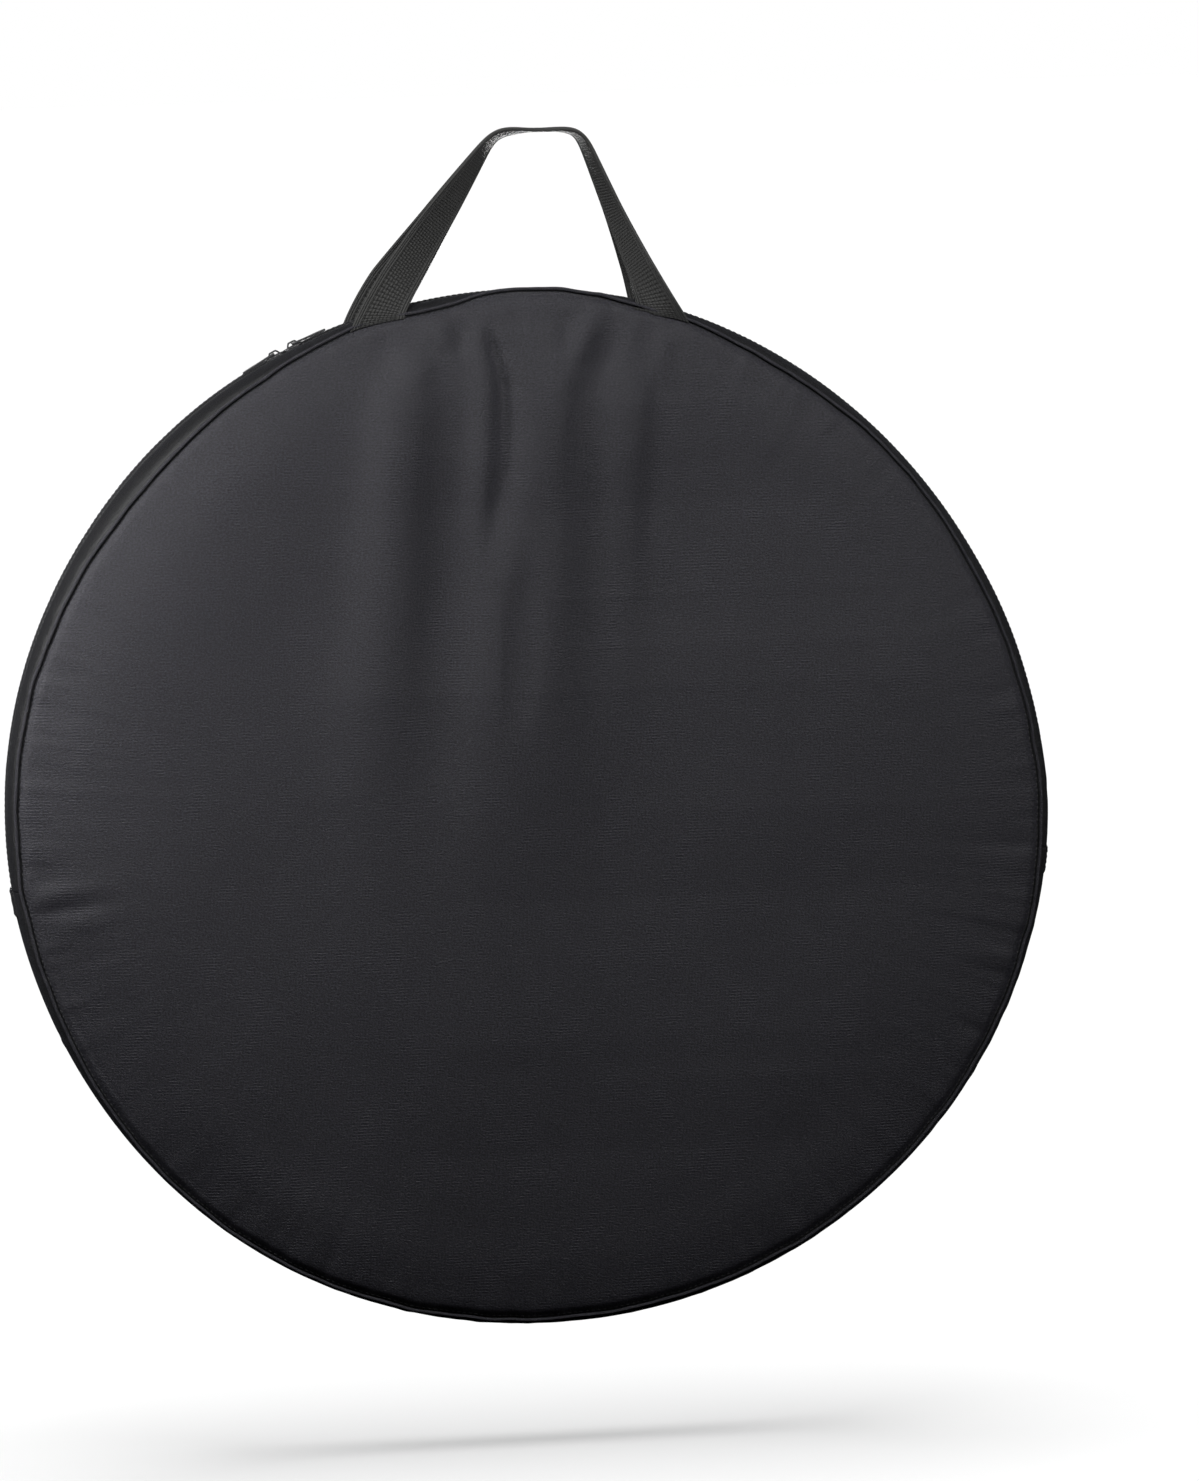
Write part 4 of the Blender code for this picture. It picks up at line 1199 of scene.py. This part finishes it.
def handle_line(side):
    """Middle line of a handle from foot to foot, and its feet."""
    sign = SIDES[side]
    feet = []
    for angle in np.radians(FOOT_ANGLES[side]):
        reach = float(seam_radius(side, angle))
        feet.append(CENTRE + Vector((reach * math.sin(angle), sign * FOOT_HEIGHT, reach * math.cos(angle))))
    rise = sizes().webbing_thickness / 2
    middle = GRIP_OFFSET[side]
    corners = [Vector((middle + s * GRIP_LENGTH / 2, sign * GRIP_BESIDE, rise)) for s in (-1, 1)]
    right_start = feet[1] + Vector((-LEG_START.x, 0, LEG_START.z))
    route = np.array([feet[0], feet[0] + LEG_START, *corners, right_start, feet[1]], float)
    reached = lengths_along(route)
    line = sampled(route, reached, np.linspace(0, reached[-1], int(reached[-1] / LINE_STEP) + 1))
    line = eased_line(line, 60)
    drawn_in = smooth_share(line[:, 2], feet[0].z, feet[0].z + DRAWN_OVER)
    line[:, 1] = sign * (FOOT_HEIGHT + (GRIP_BESIDE - FOOT_HEIGHT) * drawn_in)
    return line, feet


def make_handle(side):
    """Webbing that is sewn along the seam at its feet and turns a quarter on its way to the grip."""
    line, feet = handle_line(side)
    reached = lengths_along(line)
    total = reached[-1]
    top_at = reached[np.argmax(line[:, 2] - 0.02 * np.abs(line[:, 0] - GRIP_OFFSET["front"]))]
    ahead = normalised(np.gradient(line, axis=0))
    flat = normalised(ahead[:, [2, 1, 0]] * (1, 0, -1))
    on_left = reached <= top_at
    share = np.clip(np.where(on_left, reached / top_at, (total - reached) / (total - top_at)), 0, 1)
    twist = math.pi / 2 * share ** np.where(on_left, *TWISTS[side])
    twist = eased_line(twist[:, None], 20)
    across = flat * np.cos(twist) + np.cross(ahead, flat) * np.sin(twist)
    spots = np.linspace(-0.5, 0.5, COLUMNS)
    width = sizes().webbing_width
    surface = line[:, None] + across[:, None] * spots[:, None] * width
    for way, degrees, away in zip((1, -1), FOOT_ANGLES[side], (reached, total - reached)):
        theta = math.radians(degrees) + way * spots * FOOTPRINT / SEAM_RADIUS
        radius, height = seam_radius(side, theta) - SEWN_IN, seam_height(side, theta) - SEWN_BELOW
        sewn = round_points(side, theta, radius, height)
        hold = ((1 - np.clip(away / FOOT_HOLD, 0, 1)) ** 1.6)[:, None, None]
        surface = surface * (1 - hold) + sewn * hold
    normal = normalised(np.cross(np.gradient(surface, axis=0), np.gradient(surface, axis=1)))
    distance = np.abs(spots) * width
    half = sizes().webbing_thickness / 2 - EDGE_THINNED * smooth_share(distance, EDGE_FROM, EDGE_TO)
    half += CORD_HEIGHT * np.cos(distance / CORD_PITCH * 2 * math.pi) * (distance > CORDS_FROM)
    cup = (spots**2 - 0.08) * CUP_DEPTH
    surface = surface + normal * (cup * share[:, None])[..., None]
    grid = two_faced(surface + normal * half[:, None], surface - normal * half[:, None])
    spread, along = np.broadcast_arrays(spots * width, reached[:, None])
    place = np.stack([spread, along, along * 0], axis=-1)
    piece = skinned(f"{side}_handle", grid, two_faced(place, place), "webbing")
    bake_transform(piece)
    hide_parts(f"handle_{side}")
    return piece


def stitch_row(path, outward, pitch=None, length=None):
    """Points, faces and cloth places of thread stitches along a dense path with its outward directions."""
    pitch = pitch or sizes().stitch_pitch
    length = length or sizes().stitch_length
    reached = lengths_along(path)
    count = int(reached[-1] / pitch)
    starts = (np.arange(count) + 0.5) * reached[-1] / max(count, 1) - length / 2
    shares = np.array([0.0, 0.14, 0.5, 0.86, 1.0])
    girths, lifts = np.array([(0.35, 0.95, 1.05, 0.95, 0.35), (-1.2, -0.1, 0.2, -0.1, -1.2)]) * sizes().thread_radius
    along = starts[:, None] + shares * length
    spot = sampled(path, reached, along)
    out = normalised(sampled(outward, reached, along))
    ahead = normalised(spot[:, -1:] - spot[:, :1])
    side = normalised(np.cross(np.broadcast_to(ahead, out.shape), out))
    corners = 6
    turns = (2 * math.pi * np.arange(corners) / corners)[:, None]
    ring = np.cos(turns) * side[:, :, None] + np.sin(turns) * out[:, :, None]
    points = (spot + out * lifts[:, None])[:, :, None] + ring * girths[:, None, None]
    place = np.zeros_like(points)
    place[..., 0] = np.arange(corners) * 0.0002
    place[..., 1] = along[:, :, None]
    faces = repeated(rung_faces(len(shares), corners), count, len(shares) * corners)
    return points.reshape(-1, 3), faces, place.reshape(-1, 3)


def stitching(name, rows):
    """One piece from several rows of stitches."""
    points, faces = joined([row[:2] for row in rows])
    return make_piece(name, points, faces, "thread", np.concatenate([row[2] for row in rows]), outward=False)


def make_zip_stitching(side):
    """Two rows that hold the folded edge of the gusset to the zip tape."""
    theta = zip_angles(900, 0.003)
    rows = []
    for level in (0.0080, 0.0118):
        path = round_points(side, theta, gusset_profile(side, theta, np.full_like(theta, level)), level)
        rows.append(stitch_row(path, path - MIDDLE))
    return fold_with(stitching(f"{side}_zip_stitching", rows))


def make_seam_stitching(side):
    """Stitches that show in the groove between a cover and its welt."""
    theta = np.linspace(-math.pi, math.pi, 2000)
    path = cover_surface(side, 0.9985 * np.stack([np.sin(theta), np.cos(theta)], axis=-1))
    out = np.stack([0.5 * np.sin(theta), np.full_like(theta, SIDES[side]), 0.5 * np.cos(theta)], axis=-1)
    return fold_with(stitching(f"{side}_seam_stitching", [stitch_row(path, out)]))


def inner_stitching(name, side, path, *gauge):
    """A row of stitches on a face that looks into the bag."""
    out = np.zeros_like(path)
    out[:, 1] = -SIDES[side]
    return fold_with(stitching(name, [stitch_row(path, out, *gauge)]))


def make_binding_stitching(side):
    """Stitches along the inner face of a binding."""
    theta = np.linspace(-math.pi, math.pi, 1500)
    radius = seam_radius(side, theta) - BINDING_IN - BINDING_ROW
    height = seam_height(side, theta) - BINDING_DOWN - BINDING_THICKNESS + BINDING_RIPPLE * gathers(theta, 2.2)
    return inner_stitching(f"{side}_binding_stitching", side, round_points(side, theta, radius, height))


def make_guard_stitching(side):
    """A ring of stitches on a hub patch."""
    path = round_points(side, np.linspace(-math.pi, math.pi, 240), GUARD_ROW, GUARD_SEAT - GUARD_DEPTH)
    return inner_stitching(f"{side}_hub_stitching", side, path, 0.0036, 0.0026)


def make_tab_stitching(hand):
    """A box of stitches round each end tab."""
    margin = 0.0022 / BAG_RADIUS
    low, high = ZIP_REACH + ZIP_GAP + margin, ZIP_REACH + END_TAB_SPAN - margin
    half = 0.0108
    corners = [(low, half), (high, half), (high, -half), (low, -half), (low, half)]
    rows = []
    for (t0, h0), (t1, h1) in zip(corners, corners[1:]):
        theta = HANDS[hand] * np.linspace(t0, t1, 30)
        heights = np.linspace(h0, h1, 30)
        path = round_points("front", theta, gusset_radius(theta, heights) + END_TAB_THICKNESS, heights)
        rows.append(stitch_row(path, path - MIDDLE, 0.0034, 0.0025))
    piece = stitching(f"{hand}_tab_stitching", rows)
    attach(piece, "bag_body")
    return piece


# Camera: where the photograph was taken from, and where its frame puts the bag
CAMERA_AZIMUTH = -7.5
CAMERA_ELEVATION = 6.2
CAMERA_ROLL = 1.6
CAMERA_LENS = 170.0
SENSOR_WIDTH = 36.0
IMAGE_WIDTH, IMAGE_HEIGHT = 1199, 1481
CENTRE_PIXEL = (529.4, 811.5)
PIXELS_PER_METRE = 1041.64 / 0.740
FLOOR_DROP = 0.083
FLOOR_REACH = 60.0


def make_camera():
    """The photograph's camera, aimed so that the bag's centre falls on its pixel."""
    a, e, roll = (math.radians(v) for v in (CAMERA_AZIMUTH, CAMERA_ELEVATION, CAMERA_ROLL))
    back = Vector((math.sin(a) * math.cos(e), -math.cos(a) * math.cos(e), math.sin(e)))
    level = (-back).cross(Vector((0, 0, 1))).normalized()
    upright = level.cross(-back)
    up = upright * math.cos(roll) + level * math.sin(roll)
    right = level * math.cos(roll) - upright * math.sin(roll)
    data = bpy.data.cameras.new("camera")
    data.lens = CAMERA_LENS
    data.sensor_width = SENSOR_WIDTH
    data.clip_start, data.clip_end = 0.1, 400
    distance = data.lens / data.sensor_width * IMAGE_HEIGHT / PIXELS_PER_METRE
    aside = (IMAGE_WIDTH / 2 - CENTRE_PIXEL[0]) / PIXELS_PER_METRE
    above = (CENTRE_PIXEL[1] - IMAGE_HEIGHT / 2) / PIXELS_PER_METRE
    camera = bpy.data.objects.new("camera", data)
    bpy.context.scene.collection.objects.link(camera)
    spot = CENTRE + right * aside + up * above + back * distance
    camera.matrix_world = Matrix.Translation(spot) @ Matrix((right, up, back)).transposed().to_4x4()
    bpy.context.scene.camera = camera


LAMPS = (
    ("top_left_lamp", (-0.3, -1.0, 0.8), (0.7, 0.7), 11.4),
    ("top_lamp", (0.0, -0.7, 0.45), (0.7, 0.3), 1.3),
    ("left_strip", (-0.60, -0.22, -0.22), (0.1, 0.4), 2.1),
    ("right_front_lamp", (0.7, -1.0, 0.4), (0.5, 0.5), 1.35),
    ("right_lamp", (1.1, -0.9, 0.1), (0.4, 0.6), 4.6),
    ("rear_key", (0.24, 0.95, -0.20), (0.22, 0.22), 6.0),
    ("rear_side", (0.33, 0.30, -0.42), (0.05, 0.3), 0.30),
    ("rear_fill", (-0.1, 2.6, -0.5), (0.4, 0.4), 14.0),
)


def soft_lamp(name, place, size, power):
    """A rectangular lamp that looks at the middle of the bag."""
    data = bpy.data.lights.new(name, "AREA")
    data.shape = "RECTANGLE"
    data.size, data.size_y = size
    data.energy = power
    lamp = bpy.data.objects.new(name, data)
    bpy.context.scene.collection.objects.link(lamp)
    lamp.visible_camera = False
    lamp.location = place
    lamp.rotation_mode = "QUATERNION"
    lamp.rotation_quaternion = (CENTRE - Vector(place)).to_track_quat("-Z", "Y")
    return lamp


def make_floor():
    """Plain pale floor far below the bag. It sends no light back to it."""
    z = CENTRE.z - BAG_RADIUS - FLOOR_DROP
    corners = [(x * FLOOR_REACH, y * FLOOR_REACH, z) for x, y in ((-1, -1), (1, -1), (1, 1), (-1, 1))]
    mesh = bpy.data.meshes.new("floor")
    mesh.from_pydata(corners, [], [(0, 1, 2, 3)])
    paint = Finish("pale_floor", 0.9, Specular_IOR_Level=0.1)
    speckle = paint.noise(paint.node("ShaderNodeTexCoord", output="Object"), 6.0, 2.0)
    paint.link(paint.mixed(speckle, (0.86, 0.86, 0.86), (0.88, 0.88, 0.88)), "Base Color")
    mesh.materials.append(paint.material)
    floor = bpy.data.objects.new("floor", mesh)
    bpy.context.scene.collection.objects.link(floor)
    floor.visible_diffuse = False
    floor.visible_glossy = False
    return floor


def make_stage():
    """The floor, a white surround, soft lamps on the bag alone and wide ceiling lamps on the floor alone."""
    scene = bpy.context.scene
    floor = make_floor()
    world = bpy.data.worlds.new("surround")
    scene.world = world
    world.use_nodes = True
    sky = world.node_tree.nodes["Background"]
    sky.inputs["Color"].default_value = (1, 1, 1, 1)
    sky.inputs["Strength"].default_value = 1.0
    world.cycles_visibility.diffuse = False
    world.cycles_visibility.glossy = False
    bag_only = bpy.data.collections.new("bag_only")
    bag_only.objects.link(floor)
    bag_only.collection_objects[0].light_linking.link_state = "EXCLUDE"
    for lamp in LAMPS:
        soft_lamp(*lamp).light_linking.receiver_collection = bag_only
    floor_only = bpy.data.collections.new("floor_only")
    floor_only.objects.link(floor)
    for name, energy, has_shadow in (("ceiling_lamp", 1.75, True), ("ceiling_fill", 2.1, False)):
        data = bpy.data.lights.new(name, "SUN")
        data.energy = energy
        data.angle = math.radians(44)
        data.use_shadow = has_shadow
        lamp = bpy.data.objects.new(name, data)
        scene.collection.objects.link(lamp)
        lamp.light_linking.receiver_collection = floor_only
    scene.view_settings.view_transform = "Standard"
    scene.view_settings.look = "None"


class WHEELBAG_OT_covers(bpy.types.Operator):
    """Make the two padded outer covers"""

    bl_idname = "wheel_bag.covers"
    bl_label = "Covers"

    def execute(self, context):
        for side in SIDES:
            make_cover(side)
        return {"FINISHED"}


class WHEELBAG_OT_padding(bpy.types.Operator):
    """Make the foam, the linings and the hub patches inside the sides"""

    bl_idname = "wheel_bag.padding"
    bl_label = "Padding"

    def execute(self, context):
        for side in SIDES:
            make_foam(side)
            make_lining(side)
            make_guard(side)
        return {"FINISHED"}


class WHEELBAG_OT_seams(bpy.types.Operator):
    """Make the welts and the bindings of the round seams"""

    bl_idname = "wheel_bag.seams"
    bl_label = "Seams"

    def execute(self, context):
        for side in SIDES:
            make_welt(side)
            make_binding(side)
        return {"FINISHED"}


class WHEELBAG_OT_gusset(bpy.types.Operator):
    """Make the gusset round the edge and the tabs over the zip's ends"""

    bl_idname = "wheel_bag.gusset"
    bl_label = "Gusset"

    def execute(self, context):
        for side in SIDES:
            make_gusset_band(side)
        make_gusset_bottom()
        for hand in SLIDER_ANGLES:
            make_end_tab(hand)
        return {"FINISHED"}


class WHEELBAG_OT_zip(bpy.types.Operator):
    """Make the zip's tapes and coils"""

    bl_idname = "wheel_bag.zip"
    bl_label = "Zip"

    def execute(self, context):
        for side in SIDES:
            make_zip_tape(side)
            make_zip_coil(side)
        return {"FINISHED"}


class WHEELBAG_OT_sliders(bpy.types.Operator):
    """Make the zip sliders and their pull tabs"""

    bl_idname = "wheel_bag.sliders"
    bl_label = "Sliders"

    def execute(self, context):
        for hand in SLIDER_ANGLES:
            make_slider(hand)
            make_pull(hand)
        return {"FINISHED"}


class WHEELBAG_OT_handles(bpy.types.Operator):
    """Make the two webbing handles"""

    bl_idname = "wheel_bag.handles"
    bl_label = "Handles"

    def execute(self, context):
        for side in SIDES:
            make_handle(side)
        return {"FINISHED"}


class WHEELBAG_OT_stitching(bpy.types.Operator):
    """Sew the stitches along the seams, the zip, the bindings, the tabs and the patches"""

    bl_idname = "wheel_bag.stitching"
    bl_label = "Stitching"

    def execute(self, context):
        for side in SIDES:
            make_zip_stitching(side)
            make_seam_stitching(side)
            make_binding_stitching(side)
            make_guard_stitching(side)
        for hand in SLIDER_ANGLES:
            make_tab_stitching(hand)
        return {"FINISHED"}


class WHEELBAG_OT_stage(bpy.types.Operator):
    """Set the floor, the lamps and the camera"""

    bl_idname = "wheel_bag.stage"
    bl_label = "Stage"

    def execute(self, context):
        make_camera()
        make_stage()
        return {"FINISHED"}


PIECES = (
    WHEELBAG_OT_covers,
    WHEELBAG_OT_padding,
    WHEELBAG_OT_seams,
    WHEELBAG_OT_gusset,
    WHEELBAG_OT_zip,
    WHEELBAG_OT_sliders,
    WHEELBAG_OT_handles,
    WHEELBAG_OT_stitching,
    WHEELBAG_OT_stage,
)


class WHEELBAG_PT_panel(bpy.types.Panel):
    """Sizes, colours and pieces of the wheel bag"""

    bl_idname = "WHEELBAG_PT_panel"
    bl_label = "Bike wheel bag"
    bl_space_type = "VIEW_3D"
    bl_region_type = "UI"
    bl_category = "Wheel Bag"

    def draw(self, context):
        for group in (context.scene.wheel_bag_sizes, context.scene.wheel_bag_colours):
            box = self.layout.box()
            for name in group.__annotations__:
                box.prop(group, name)
        for operator in PIECES:
            self.layout.operator(operator.bl_idname)


CLASSES = (BagSizes, BagColours, *PIECES, WHEELBAG_PT_panel)


def register():
    for cls in CLASSES:
        bpy.utils.register_class(cls)
    bpy.types.Scene.wheel_bag_sizes = PointerProperty(type=BagSizes)
    bpy.types.Scene.wheel_bag_colours = PointerProperty(type=BagColours)


def unregister():
    del bpy.types.Scene.wheel_bag_colours
    del bpy.types.Scene.wheel_bag_sizes
    for cls in reversed(CLASSES):
        bpy.utils.unregister_class(cls)


def main():
    register()
    make_finishes()
    for operator in PIECES:
        group, name = operator.bl_idname.split(".")
        getattr(getattr(bpy.ops, group), name)()


if __name__ == "__main__":
    main()
